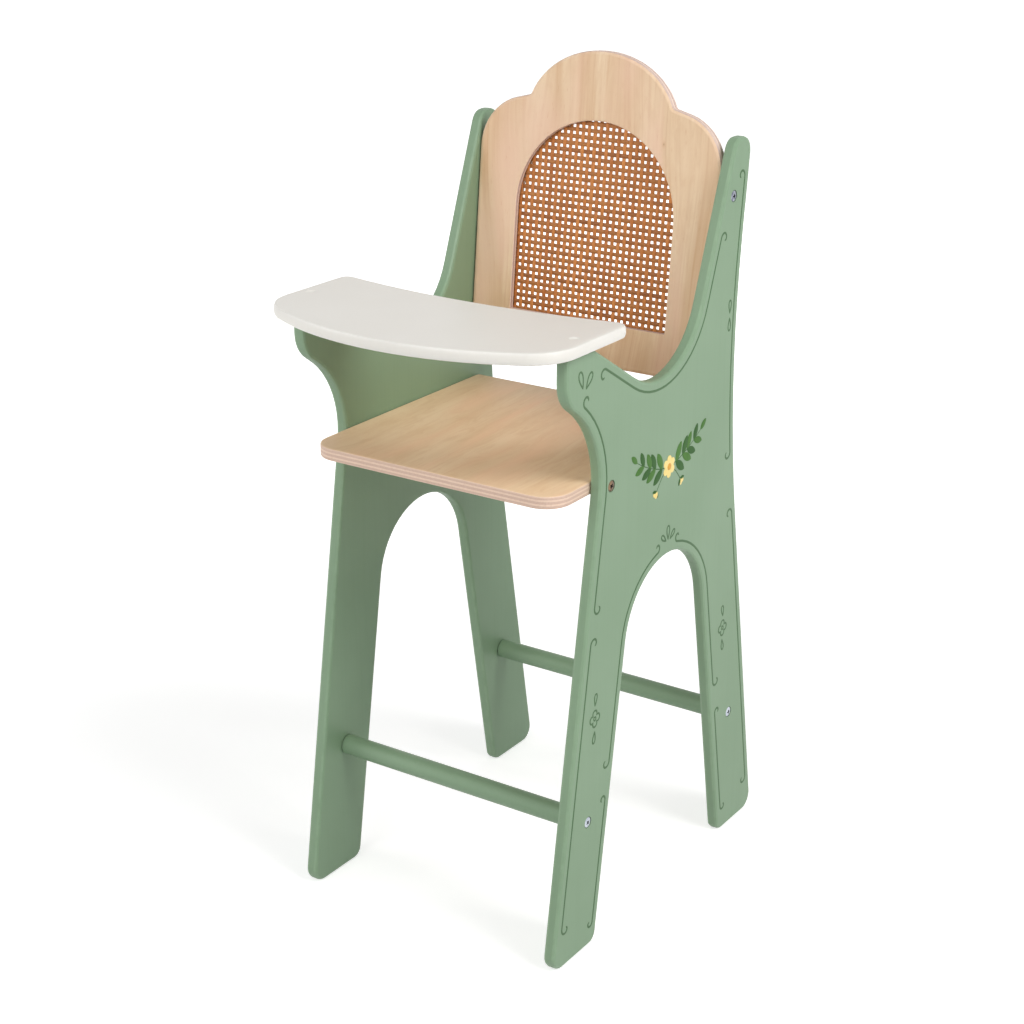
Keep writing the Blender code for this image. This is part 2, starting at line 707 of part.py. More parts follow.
def make_tray(chair):
    """The tray and its pegs, carried by an empty on the lift's axis."""
    lift = make_empty("tray_lift", chair, (0, PEG_DEPTH, ARM_HEIGHT + GAP))
    places = [Matrix.Translation((side * PEG_ACROSS, 0, 0)) for side in (-1, 1)]
    socket = hole_profile(PEG_RADIUS + GAP, -CUT_OVERRUN, PEG_SOCKET + GAP)
    socket_cut = make_cutter(
        turned_mesh("tray_peg_cuts", socket, DOWEL_SIDES, places), "tray_peg_cuts", lift
    )
    mesh = board_mesh("tray", [(tray_outline(), TRAY_EDGE_RADIUS)], 0, BOARD)
    cut(make_piece(mesh, "tray", CREAM_PAINT, lift), socket_cut)
    profile = pin_profile(PEG_RADIUS, -GAP - PEG_REACH, PEG_SOCKET, DOWEL_CHAMFER)
    for label, place in zip(("left", "right"), places):
        mesh = turned_mesh("tray_peg_" + label, profile, DOWEL_SIDES)
        make_piece(mesh, "tray_peg_" + label, BEECH, lift, place.to_translation())


def make_arm_cutter(chair):
    """The holes in the arms' tops that take the tray's pegs."""
    radius = PEG_RADIUS + PEG_CLEARANCE
    profile = hole_profile(radius, -PEG_REACH - PEG_END_ROOM, CUT_OVERRUN)
    places = [
        Matrix.Translation((side * PEG_ACROSS, PEG_DEPTH, ARM_HEIGHT)) for side in (-1, 1)
    ]
    return make_cutter(
        turned_mesh("arm_peg_cuts", profile, DOWEL_SIDES, places), "arm_peg_cuts", chair
    )


def main():
    """Builds the chair with its origin below the middle of its bounding box."""
    for item in list(bpy.data.objects):
        bpy.data.objects.remove(item)
    tray_front = PEG_DEPTH + TRAY_BEHIND_PEGS - TRAY_DEPTH
    heel = max(point.x for point in side_outline())
    chair = make_empty("chair", location=(0, -(tray_front + heel) / 2, 0))
    arm_cutter = make_arm_cutter(chair)
    left_cutter = make_fixing_cutter(chair, -1, "left")
    right_cutter = make_fixing_cutter(chair, 1, "right")
    both = (left_cutter, right_cutter)
    make_side(chair, -1, "left", (left_cutter, arm_cutter))
    make_side(chair, 1, "right", (right_cutter, arm_cutter))
    make_seat(chair, both)
    make_backrest(chair, both)
    make_stretchers(chair, both)
    make_fixings(chair, -1, "left")
    make_fixings(chair, 1, "right")
    make_tray(chair)


main()
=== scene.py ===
"""Looks of the doll high chair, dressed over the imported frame.

Each sub-assembly is a class that builds its pieces and gives them their finish. All lengths are
in metres, in the frame's axes: x across the chair, y from front to back, z up.
"""
from __future__ import annotations

import logging
import math
import random
from collections.abc import Callable, Iterator
from contextlib import contextmanager
from dataclasses import dataclass, field, replace
from enum import Enum
from functools import reduce
from typing import Any

import bpy
import numpy as np
from mathutils import Matrix, Vector


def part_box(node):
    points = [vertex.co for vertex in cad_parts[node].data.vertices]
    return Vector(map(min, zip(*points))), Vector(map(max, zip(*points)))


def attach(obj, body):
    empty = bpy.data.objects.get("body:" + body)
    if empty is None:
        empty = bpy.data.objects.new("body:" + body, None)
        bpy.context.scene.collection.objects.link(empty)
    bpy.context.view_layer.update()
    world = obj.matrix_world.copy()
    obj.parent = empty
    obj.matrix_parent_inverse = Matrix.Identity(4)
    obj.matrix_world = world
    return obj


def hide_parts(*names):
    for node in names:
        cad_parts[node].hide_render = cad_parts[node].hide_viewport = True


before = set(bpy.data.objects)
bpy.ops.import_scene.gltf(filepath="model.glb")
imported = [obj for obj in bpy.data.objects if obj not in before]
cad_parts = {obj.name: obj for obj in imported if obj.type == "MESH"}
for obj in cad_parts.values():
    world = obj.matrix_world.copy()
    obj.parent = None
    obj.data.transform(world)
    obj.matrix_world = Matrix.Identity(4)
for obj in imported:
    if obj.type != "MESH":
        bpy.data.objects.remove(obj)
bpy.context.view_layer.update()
LOG = logging.getLogger("high_chair")

Piece = bpy.types.Object
Material = bpy.types.Material
Socket = bpy.types.NodeSocket
Sockets = dict[str, Socket]
Inputs = dict[Any, Any]
Colour = tuple[float, float, float, float]
Triple = tuple[float, float, float]
Point = tuple[float, float]
Pair = tuple[float, float]
Line = tuple[list[Triple], list[float], bool]

SAME_PLANE = 0.00001
SAME_POINT = 0.000002
FACES_CAP = 0.9
LINE_SLACK = 0.0003
BACK_TILT = 5.58
BACK_ORIGIN = (0.0, 0.081307, 0.373966)
QUARTER_TURN = math.radians(90)


class Body(Enum):
    """The two bodies of the frame."""

    CHAIR = "chair"
    TRAY = "tray"


class Side(Enum):
    """The two side boards, by the sign of their x."""

    LEFT = -1
    RIGHT = 1

    @property
    def word(self) -> str:
        """The side's name as the nodes spell it."""
        return self.name.lower()


class Slot(Enum):
    """The record's material slots that go with the new pieces."""

    GREEN_PAINT = "green_paint"
    CREAM_PAINT = "cream_paint"
    CANE = "woven_cane"
    ZINC = "zinc"
    BRONZED = "bronzed_steel"


class Kind(Enum):
    """The kinds of socket that a shared effect has."""

    NUMBER = "NodeSocketFloat"
    COLOUR = "NodeSocketColor"
    VECTOR = "NodeSocketVector"


VECTORS = ("Vector", "Normal", "Through")
COLOURS = ("Colour", "Light", "Dark", "Blush", "Glue", "Deep", "Pale", "Shade")
KINDS = {**dict.fromkeys(VECTORS, Kind.VECTOR), **dict.fromkeys(COLOURS, Kind.COLOUR)}


def srgb(red: float, green: float, blue: float) -> Colour:
    """Turn screen values from 0 to 255 into the linear colour that a node takes.

    Args:
        red: the red value.
        green: the green value.
        blue: the blue value.

    Returns:
        The linear colour with an alpha of 1.
    """
    shares = [value / 255 for value in (red, green, blue)]
    linear = [s / 12.92 if s <= 0.04045 else ((s + 0.055) / 1.055) ** 2.4 for s in shares]
    return (linear[0], linear[1], linear[2], 1.0)


@dataclass
class Nodes:
    """Adds and links the nodes of one tree."""

    tree: bpy.types.NodeTree

    def add(self, kind: str, inputs: Inputs | None = None, **settings: Any) -> bpy.types.Node:
        """Add a node.

        Args:
            kind: the node's type.
            inputs: what each input gets, a socket or a plain value.
            settings: the node's own settings.

        Returns:
            The new node.
        """
        node = self.tree.nodes.new(kind)
        for name, value in settings.items():
            setattr(node, name, value)
        for name, value in (inputs or {}).items():
            self.feed(node.inputs[name], value)
        return node

    def feed(self, socket: Socket, value: Any) -> None:
        """Link a socket to another one, or set its plain value.

        Args:
            socket: the socket that takes the value.
            value: the other socket or the plain value.
        """
        if isinstance(value, Socket):
            self.tree.links.new(value, socket)
        else:
            socket.default_value = value

    def maths(self, operation: str, first: Any, second: Any = 0.0) -> Socket:
        """Return the result of one sum of two numbers."""
        return self.add("ShaderNodeMath", {0: first, 1: second}, operation=operation).outputs[0]

    def times(self, first: Any, second: Any) -> Socket:
        """Return the product of two numbers."""
        return self.maths("MULTIPLY", first, second)

    def plus(self, *values: Any) -> Socket:
        """Return the sum of some numbers."""
        return reduce(lambda total, value: self.maths("ADD", total, value), values)

    def minus(self, first: Any, second: Any) -> Socket:
        """Return the difference of two numbers."""
        return self.maths("SUBTRACT", first, second)

    def vectors(self, operation: str, first: Any, second: Any, result: str = "Value") -> Socket:
        """Return the result of one operation on two vectors."""
        node = self.add("ShaderNodeVectorMath", {0: first, 1: second}, operation=operation)
        return node.outputs[result]

    def mix(self, factor: Any, first: Any, second: Any, blend: str = "MIX") -> Socket:
        """Return two colours mixed by a factor."""
        inputs = {0: factor, 6: first, 7: second}
        return self.add("ShaderNodeMix", inputs, data_type="RGBA", blend_type=blend).outputs[2]

    def spread(
        self, value: Any, low: Any, high: Any, to_low: float = 0.0, to_high: float = 1.0,
    ) -> Socket:
        """Return a number mapped smoothly from one range to another."""
        inputs = {0: value, 1: low, 2: high, 3: to_low, 4: to_high}
        return self.add("ShaderNodeMapRange", inputs, interpolation_type="SMOOTHSTEP").outputs[0]

    def noise(
        self, vector: Any, scale: float | Triple, detail: float = 2.0, roughness: float = 0.5,
        distortion: float = 0.0,
    ) -> Socket:
        """Draw a noise from 0 to 1.

        Args:
            vector: the coordinates.
            scale: its scale, one number or one for each axis.
            detail: how many finer layers it has.
            roughness: how strong they are.
            distortion: how far it is bent.

        Returns:
            The noise.
        """
        if isinstance(scale, tuple):
            stretched = self.add("ShaderNodeMapping", {"Vector": vector, "Scale": scale})
            vector, scale = stretched.outputs[0], 1.0
        inputs = {
            "Vector": vector, "Scale": scale, "Detail": detail, "Roughness": roughness,
            "Distortion": distortion,
        }
        return self.add("ShaderNodeTexNoise", inputs).outputs[0]


@dataclass(frozen=True)
class Effect:
    """A shader node group that several finishes share."""

    name: str
    takes: tuple[str, ...]
    gives: tuple[str, ...]
    wire: Callable[[Nodes, Sockets], Sockets]

    def tree(self) -> bpy.types.NodeTree:
        """Build the group on its first use.

        Returns:
            The group.
        """
        found = bpy.data.node_groups.get(self.name)
        if found:
            return found
        tree = bpy.data.node_groups.new(self.name, "ShaderNodeTree")
        for names, way in ((self.takes, "INPUT"), (self.gives, "OUTPUT")):
            for name in names:
                kind = KINDS.get(name, Kind.NUMBER).value
                tree.interface.new_socket(name, in_out=way, socket_type=kind)
        nodes = Nodes(tree)
        start = nodes.add("NodeGroupInput")
        end = nodes.add("NodeGroupOutput")
        results = self.wire(nodes, {name: start.outputs[name] for name in self.takes})
        for name, socket in results.items():
            nodes.feed(end.inputs[name], socket)
        return tree

    def place(self, shader: Shader, finish: Any, given: Inputs | None = None) -> Sockets:
        """Place the group in a material.

        Args:
            shader: the material's shader, whose coordinates it takes.
            finish: the finish, whose fields go to the inputs of the same names.
            given: what other inputs get.

        Returns:
            The group's outputs by name.
        """
        values = {"Vector": shader.place, "Normal": shader.normal, **(given or {})}
        inputs = {
            name: values[name] if name in values else getattr(finish, name.lower())
            for name in self.takes
        }
        node = shader.nodes.add("ShaderNodeGroup", inputs, node_tree=self.tree())
        return {name: node.outputs[name] for name in self.gives}


def wire_rim(nodes: Nodes, given: Sockets) -> Sockets:
    """Tell a board's rim and its rounded corner from its faces, by the way the surface looks.

    Args:
        nodes: the group's nodes.
        given: its inputs.

    Returns:
        Its outputs.
    """
    slant = nodes.vectors("DOT_PRODUCT", given["Normal"], given["Through"])
    facing = nodes.maths("ABSOLUTE", slant)
    rim = nodes.spread(facing, 0.75, 0.35)
    inner = nodes.spread(facing, 0.05, 0.35)
    outer = nodes.spread(facing, 0.99, 0.85)
    rough = nodes.noise(given["Vector"], 70.0, 3.0, 0.65)
    # The Corner mask picks out the rounded corners, which the finishes make paler: the paints as
    # rubbed paint, the boards as bare veneer, and both as a painted highlight.
    corner = nodes.times(nodes.times(inner, outer), nodes.spread(rough, 0.32, 0.62, 0.25))
    return {"Rim": rim, "Corner": corner}


def wire_grain(nodes: Nodes, given: Sockets) -> Sockets:
    """Draw wood grain along y: growth bands, streaks, thin lines, fibres and short pores.

    Args:
        nodes: the group's nodes.
        given: its inputs.

    Returns:
        Its outputs.
    """
    light, dark = given["Light"], given["Dark"]
    drift = nodes.noise(given["Vector"], (9.0, 2.2, 9.0))
    bend = nodes.times(nodes.minus(drift, 0.5), 0.075)
    shift = nodes.add("ShaderNodeCombineXYZ", {0: bend}).outputs[0]
    bent = nodes.vectors("ADD", given["Vector"], shift, "Vector")
    growth = nodes.noise(bent, (8.0, 1.3, 8.0), 1.0, 0.4)
    bands = nodes.spread(nodes.maths("PINGPONG", nodes.times(growth, 22.0), 1.0), 0.2, 0.9)
    broad = nodes.spread(nodes.noise(bent, (62.0, 3.2, 62.0), 3.0, 0.55), 0.3, 0.7)
    thin = nodes.spread(nodes.noise(bent, (330.0, 5.0, 330.0), 2.0, 0.55), 0.42, 0.68)
    fibre = nodes.noise(bent, (1500.0, 42.0, 1500.0), 2.0, 0.6)
    pore = nodes.spread(nodes.noise(bent, (2400.0, 150.0, 2400.0), 1.0), 0.66, 0.76)
    shares = ((broad, 0.42), (bands, 0.3), (thin, 0.28), (fibre, 0.22))
    part = nodes.plus(*(nodes.times(pattern, share) for pattern, share in shares))
    colour = nodes.mix(nodes.times(part, given["Contrast"]), light, dark)
    figure = nodes.noise(bent, (130.0, 30.0, 130.0), 3.0, 0.6, 1.0)
    flecks = nodes.times(nodes.spread(figure, 0.42, 0.7), given["Figure"])
    colour = nodes.mix(flecks, colour, dark)
    blush = nodes.noise(bent, (24.0, 5.0, 24.0))
    colour = nodes.mix(nodes.spread(blush, 0.45, 0.68, 0.0, 0.75), colour, given["Blush"])
    colour = nodes.mix(nodes.times(pore, 0.3), colour, dark, "MULTIPLY")
    return {"Colour": colour, "Height": nodes.minus(nodes.times(fibre, 0.6), pore)}


def wire_plies(nodes: Nodes, given: Sockets) -> Sockets:
    """Draw a rim's plies, pale veneers with darker ones and thin glue lines between.

    Args:
        nodes: the group's nodes.
        given: its inputs.

    Returns:
        Its outputs.
    """
    wander = nodes.noise(given["Vector"], (26.0, 26.0, 26.0))
    depth = nodes.plus(given["Depth"], nodes.times(nodes.minus(wander, 0.5), 0.0004))
    share = nodes.maths("PINGPONG", nodes.maths("DIVIDE", depth, given["Ply"]), 1.0)
    from_joint = nodes.maths("ABSOLUTE", nodes.minus(share, 0.5))
    glue = nodes.spread(from_joint, 0.02, 0.1, 1.0, 0.0)
    speck = nodes.noise(given["Vector"], (900.0, 900.0, 900.0), 2.0, 0.6)
    colour = nodes.mix(nodes.spread(share, 0.42, 0.58), given["Light"], given["Dark"])
    colour = nodes.mix(nodes.times(glue, 0.35), colour, given["Glue"])
    colour = nodes.mix(nodes.spread(speck, 0.4, 0.7, 0.0, 0.16), colour, given["Dark"], "MULTIPLY")
    return {"Colour": colour, "Height": nodes.minus(speck, glue)}


def wire_film(nodes: Nodes, given: Sockets) -> Sockets:
    """Draw a coat of paint: slow tone, faint brush lines, fine stipple and pale corners.

    Args:
        nodes: the group's nodes.
        given: its inputs.

    Returns:
        Its outputs.
    """
    place, variation, wear = given["Vector"], given["Variation"], given["Wear"]
    slow = nodes.noise(place, 9.0, 3.0)
    brush = nodes.noise(place, (420.0, 420.0, 9.0), 2.0, 0.6)
    stipple = nodes.noise(place, 950.0, 2.0, 0.55)
    tone = nodes.times(nodes.spread(slow, 0.3, 0.7), variation)
    colour = nodes.mix(tone, given["Colour"], given["Deep"])
    faint = nodes.times(variation, nodes.spread(brush, 0.45, 0.75, 0.0, 0.6))
    colour = nodes.mix(faint, colour, given["Deep"])
    # Paler paint on the rounded corners: partly paint rubbed thin, partly a painted highlight.
    colour = nodes.mix(nodes.times(wear, 0.4), colour, given["Pale"])
    rough = nodes.plus(given["Roughness"], nodes.times(nodes.minus(slow, 0.5), 0.16))
    rough = nodes.minus(rough, nodes.times(wear, 0.08))
    height = nodes.plus(nodes.times(stipple, 0.7), nodes.times(brush, 0.5))
    return {"Colour": colour, "Roughness": rough, "Height": height}


def wire_metal(nodes: Nodes, given: Sockets) -> Sockets:
    """Draw plated metal: cloudy plating, small spots and fine marks of the tool.

    Args:
        nodes: the group's nodes.
        given: its inputs.

    Returns:
        Its outputs.
    """
    cloud = nodes.noise(given["Vector"], 420.0, 3.0, 0.6)
    marks = nodes.noise(given["Vector"], (900.0, 5200.0, 5200.0), 2.0, 0.6)
    colour = nodes.mix(nodes.spread(cloud, 0.3, 0.7), given["Light"], given["Dark"])
    rough = nodes.spread(cloud, 0.25, 0.75, 0.28, 0.46)
    return {"Colour": colour, "Roughness": rough, "Height": marks}


def wire_cane(nodes: Nodes, given: Sockets) -> Sockets:
    """Draw a cane strand along y: its own tone, split fibres, blotches, and painted shade on its
    low parts.

    Args:
        nodes: the group's nodes.
        given: its inputs.

    Returns:
        Its outputs.
    """
    axes = nodes.add("ShaderNodeSeparateXYZ", {0: given["Vector"]}).outputs
    across = nodes.plus(axes[0], given["Phase"])
    strand = nodes.maths("ROUND", nodes.maths("DIVIDE", across, given["Pitch"]))
    own = nodes.add("ShaderNodeTexWhiteNoise", {"W": strand}, noise_dimensions="1D").outputs[0]
    fibre = nodes.noise(given["Vector"], (5200.0, 130.0, 900.0), 3.0, 0.65)
    blotch = nodes.noise(given["Vector"], (160.0, 60.0, 160.0))
    tone = nodes.plus(
        nodes.times(own, 0.45),
        nodes.spread(fibre, 0.3, 0.7, 0.0, 0.4),
        nodes.spread(blotch, 0.4, 0.75, 0.0, 0.3),
    )
    colour = nodes.mix(tone, given["Light"], given["Dark"])
    # Painted shade: the strand darkens towards its Shade colour where it lies low, under the
    # crossing strands.
    low = nodes.spread(axes[2], given["Low"], given["High"], 1.0, 0.0)
    colour = nodes.mix(nodes.times(low, 0.7), colour, given["Shade"])
    return {"Colour": colour, "Height": fibre}


RIM = Effect("board_rim", VECTORS, ("Rim", "Corner"), wire_rim)
GRAIN = Effect(
    "wood_grain", ("Vector", "Light", "Dark", "Blush", "Contrast", "Figure"),
    ("Colour", "Height"), wire_grain,
)
PLIES = Effect(
    "plywood_rim", ("Vector", "Depth", "Ply", "Light", "Dark", "Glue"),
    ("Colour", "Height"), wire_plies,
)
FILM = Effect(
    "paint_film", ("Vector", "Colour", "Deep", "Pale", "Variation", "Wear", "Roughness"),
    ("Colour", "Roughness", "Height"), wire_film,
)
METAL = Effect(
    "plated_metal", ("Vector", "Light", "Dark"), ("Colour", "Roughness", "Height"), wire_metal,
)
STRANDS = Effect(
    "cane_strand", ("Vector", "Light", "Dark", "Shade", "Pitch", "Phase", "Low", "High"),
    ("Colour", "Height"), wire_cane,
)


@dataclass
class Shader:
    """A material with its one Principled shader, ready for its maps.

    Its coordinates have the origin and the turn in the frame that they are given.
    """

    name: str
    plain: dict[str, float]
    origin: Triple = (0.0, 0.0, 0.0)
    turn: Triple = (0.0, 0.0, 0.0)

    def __post_init__(self) -> None:
        """Make the material, its coordinates and the shader's plain values."""
        self.material = bpy.data.materials.new(self.name)
        self.material.use_nodes = True
        self.nodes = Nodes(self.material.node_tree)
        self.principled = self.material.node_tree.nodes["Principled BSDF"]
        for name, value in self.plain.items():
            self.principled.inputs[name].default_value = value
        coordinates = self.nodes.add("ShaderNodeTexCoord").outputs
        own = {"Vector": coordinates["Object"], "Location": self.origin, "Rotation": self.turn}
        self.place = self.nodes.add("ShaderNodeMapping", own, vector_type="TEXTURE").outputs[0]
        self.normal = coordinates["Normal"]

    def dress(self, maps: Sockets, depth: float) -> Material:
        """Link the maps to the shader.

        Args:
            maps: the maps Colour, Height and, where the finish has one, Roughness.
            depth: how deep the bump is, in metres.

        Returns:
            The finished material.
        """
        relief = {"Strength": 1.0, "Distance": depth, "Height": maps["Height"]}
        bump = self.nodes.add("ShaderNodeBump", relief).outputs[0]
        self.nodes.feed(self.principled.inputs["Base Color"], maps["Colour"])
        self.nodes.feed(self.principled.inputs["Normal"], bump)
        if "Roughness" in maps:
            self.nodes.feed(self.principled.inputs["Roughness"], maps["Roughness"])
        return self.material


@dataclass(frozen=True)
class PaintFinish:
    """A paint on wood, satin unless its sheen says otherwise."""

    name: str
    colour: Colour
    deep: Colour
    pale: Colour
    through: Triple = (1.0, 0.0, 0.0)
    roughness: float = 0.46
    variation: float = 0.5
    wear: float = 1.0
    stipple: float = 0.00004
    sheen: float = 0.45

    def material(self) -> Material:
        """Build the paint's material.

        Returns:
            The material.
        """
        shader = Shader(self.name, {"Specular IOR Level": self.sheen})
        # The rounded corners get the pale colour, partly as rubbed paint and partly as a painted
        # highlight.
        wear_and_highlight_mask = shader.nodes.times(RIM.place(shader, self)["Corner"], self.wear)
        return shader.dress(FILM.place(shader, self, {"Wear": wear_and_highlight_mask}), self.stipple)


@dataclass(frozen=True)
class BoardFinish:
    """Clear-coated plywood: grain on the faces, plies on the rim.

    Its own axes have y along the grain and z through the board. Its knot is a place on the face,
    squash tells how short the knot's height counts, so that it comes out longer than wide, and
    its halo and its heart fade out between two radii.
    """

    name: str
    light: Colour
    dark: Colour
    blush: Colour
    ply_light: Colour
    ply_dark: Colour
    glue: Colour
    tilt: float
    origin: Triple
    ply: float
    contrast: float = 0.8
    figure: float = 0.3
    knot: Point | None = None
    squash: float = 0.6
    halo: Pair = (0.0004, 0.0024)
    heart: Pair = (0.0002, 0.0007)
    heartwood: Colour = srgb(132, 88, 52)
    corner_veneer: float = 0.35
    roughness: float = 0.5
    sheen: float = 0.4
    relief: float = 0.00005

    def material(self) -> Material:
        """Build the board's material.

        Returns:
            The material.
        """
        plain = {"Roughness": self.roughness, "Specular IOR Level": self.sheen}
        shader = Shader(self.name, plain, self.origin, (self.tilt, 0.0, 0.0))
        nodes = shader.nodes
        through = Matrix.Rotation(self.tilt, 3, "X") @ Vector((0, 0, 1))
        rim = RIM.place(shader, self, {"Through": tuple(through)})
        face = GRAIN.place(shader, self)
        plies = PLIES.place(shader, self, {
            "Depth": nodes.add("ShaderNodeSeparateXYZ", {0: shader.place}).outputs[2],
            "Light": self.ply_light, "Dark": self.ply_dark,
        })
        if self.knot:
            face["Colour"] = self.with_knot(shader, face["Colour"])
        colour = nodes.mix(rim["Rim"], face["Colour"], plies["Colour"])
        # The rounded corners turn towards the pale ply, partly bare veneer and partly a painted
        # highlight.
        corner = nodes.times(rim["Corner"], self.corner_veneer)
        return shader.dress({
            "Colour": nodes.mix(corner, colour, self.ply_light),
            "Height": nodes.mix(rim["Rim"], face["Height"], plies["Height"]),
        }, self.relief)

    def with_knot(self, shader: Shader, face: Socket) -> Socket:
        """Draw a small knot with a soft halo on the face.

        Args:
            shader: the material's shader.
            face: the colour so far.

        Returns:
            The colour with the knot.
        """
        nodes = shader.nodes
        flat = nodes.add(
            "ShaderNodeMapping", {"Vector": shader.place, "Scale": (1.0, self.squash, 0.0)},
        ).outputs[0]
        centre = (self.knot[0], self.knot[1] * self.squash, 0.0)
        away = nodes.vectors("DISTANCE", flat, centre)
        halo = nodes.spread(away, *self.halo, 0.24, 0.0)
        heart = nodes.spread(away, *self.heart, 0.35, 0.0)
        return nodes.mix(heart, nodes.mix(halo, face, self.dark, "MULTIPLY"), self.heartwood)


@dataclass(frozen=True)
class RoundWoodFinish:
    """Plain beech for dowels and pegs, with the grain along the y of its own axes."""

    name: str
    turn: Triple
    light: Colour = srgb(222, 188, 148)
    dark: Colour = srgb(186, 146, 104)
    contrast: float = 1.0
    figure: float = 0.2
    roughness: float = 0.6
    sheen: float = 0.35
    relief: float = 0.00006

    def material(self) -> Material:
        """Build the wood's material.

        Returns:
            The material.
        """
        plain = {"Roughness": self.roughness, "Specular IOR Level": self.sheen}
        shader = Shader(self.name, plain, turn=self.turn)
        return shader.dress(GRAIN.place(shader, self, {"Blush": self.light}), self.relief)


@dataclass(frozen=True)
class MetalFinish:
    """Plated steel."""

    name: str
    light: Colour
    dark: Colour
    relief: float = 0.00001

    def material(self) -> Material:
        """Return the metal's material."""
        shader = Shader(self.name, {"Metallic": 1.0})
        return shader.dress(METAL.place(shader, self), self.relief)


@dataclass(frozen=True)
class CaneFinish:
    """Peeled cane, whose fibres run along the strand, the y of its own axes."""

    name: str
    turn: Triple
    phase: float
    pitch: float
    # From low to high the painted shade on the strand's low parts fades out; shade is its colour.
    low: float
    high: float
    light: Colour
    dark: Colour
    shade: Colour
    roughness: float = 0.45
    sheen: float = 0.35
    relief: float = 0.00012

    def material(self) -> Material:
        """Build the strands' material.

        Returns:
            The material.
        """
        plain = {"Roughness": self.roughness, "Specular IOR Level": self.sheen}
        shader = Shader(self.name, plain, BACK_ORIGIN, self.turn)
        return shader.dress(STRANDS.place(shader, self), self.relief)


# Each paint's third colour is the pale tone of its rounded corners, partly rubbed paint and partly
# a painted highlight.
GREEN = PaintFinish(
    "green_satin_paint", srgb(131, 158, 128), srgb(124, 151, 121), srgb(149, 177, 145),
)
GREEN_DOWEL = replace(GREEN, name="green_satin_dowel_paint", wear=0.0)
CREAM = PaintFinish(
    "cream_satin_paint", srgb(238, 235, 228), srgb(233, 229, 221), srgb(244, 242, 237),
    through=(0.0, 0.0, 1.0), roughness=0.42, variation=0.4,
)
LINE = PaintFinish(
    "ornament_line_paint", srgb(58, 98, 52), srgb(50, 88, 46), srgb(76, 114, 70),
    wear=0.0, stipple=0.00002,
)
LEAF = PaintFinish(
    "ornament_leaf_paint", srgb(80, 123, 57), srgb(64, 106, 44), srgb(106, 148, 82),
    roughness=0.6, wear=0.0, variation=0.9, sheen=0.22,
)
DEEP_LEAF = replace(
    LEAF, name="ornament_deep_leaf_paint",
    colour=srgb(58, 99, 46), deep=srgb(44, 82, 36), pale=srgb(82, 122, 64),
)
PETAL = PaintFinish(
    "ornament_petal_paint", srgb(250, 228, 148), srgb(244, 212, 120), srgb(254, 242, 190),
    wear=0.0, variation=0.8,
)
HEART = replace(
    PETAL, name="ornament_heart_paint",
    colour=srgb(226, 168, 62), deep=srgb(206, 142, 44), pale=srgb(240, 196, 100),
)
BRIGHT_ZINC = MetalFinish("bright_zinc", srgb(206, 212, 220), srgb(170, 178, 190))
DULL_ZINC = MetalFinish("dull_zinc", srgb(168, 172, 184), srgb(112, 116, 130))
BRONZED_STEEL = MetalFinish("bronzed_steel_plate", srgb(138, 114, 88), srgb(74, 62, 50))
# Near-black steel for the faces inside the screws' cross recess: painted shade for the recess.
PAINTED_SHADE_STEEL = MetalFinish("recess_painted_shade_steel", srgb(44, 42, 44), srgb(24, 23, 26))


def clear_selection() -> None:
    """Deselect everything, the CAD nodes too."""
    bpy.ops.object.select_all(action="DESELECT")


def take(*pieces: Piece) -> None:
    """Select pieces alone and make the first one active.

    Args:
        pieces: the pieces.
    """
    clear_selection()
    for piece in pieces:
        piece.select_set(True)
    bpy.context.view_layer.objects.active = pieces[0]


def newest(name: str) -> Piece:
    """Name the piece that was added last.

    Args:
        name: its name.

    Returns:
        The piece.
    """
    piece = bpy.context.active_object
    piece.name = name
    return piece


def settle(piece: Piece, place: Matrix | None = None) -> Piece:
    """Move a piece and write its place into its mesh.

    Args:
        piece: the piece, a mesh.
        place: the move, or none.

    Returns:
        The same piece, its object at the origin.
    """
    if place is not None:
        piece.matrix_world = place @ piece.matrix_world
    take(piece)
    bpy.ops.object.transform_apply(location=True, rotation=True, scale=True)
    return piece


def turned(degrees: float, axis: str = "Z") -> Matrix:
    """Return a turn about an axis."""
    return Matrix.Rotation(math.radians(degrees), 4, axis)


def copy_of(piece: Piece, name: str) -> Piece:
    """Copy a piece with its mesh.

    Args:
        piece: the piece.
        name: the copy's name.

    Returns:
        The copy, which has a mesh of its own.
    """
    take(piece)
    bpy.ops.object.duplicate()
    copy = newest(name)
    copy.data.name = name
    return copy


def join(pieces: list[Piece], name: str) -> Piece:
    """Join pieces to one.

    Args:
        pieces: the pieces, at least one.
        name: the name of the whole.

    Returns:
        The whole.
    """
    take(*pieces)
    if len(pieces) > 1:
        bpy.ops.object.join()
    whole = newest(name)
    whole.data.name = name
    return whole


@contextmanager
def editing(piece: Piece, cap: int = 0) -> Iterator[None]:
    """Edit a piece with some of its faces selected, and leave edit mode after.

    Args:
        piece: the piece, a mesh.
        cap: 1 for the faces that look up, -1 for those that look down, 0 for all.

    Yields:
        Once, with the piece in edit mode.
    """
    take(piece)
    bpy.ops.object.mode_set(mode="EDIT")
    if cap:
        bpy.ops.mesh.select_mode(type="FACE")
        bpy.ops.mesh.select_all(action="DESELECT")
        bpy.ops.object.mode_set(mode="OBJECT")
        for face in piece.data.polygons:
            face.select = face.normal.z * cap > FACES_CAP
        bpy.ops.object.mode_set(mode="EDIT")
    else:
        bpy.ops.mesh.select_all(action="SELECT")
    yield
    bpy.ops.object.mode_set(mode="OBJECT")


def turn_outwards(piece: Piece) -> None:
    """Turn all faces of a closed piece outwards."""
    with editing(piece):
        bpy.ops.mesh.normals_make_consistent(inside=False)


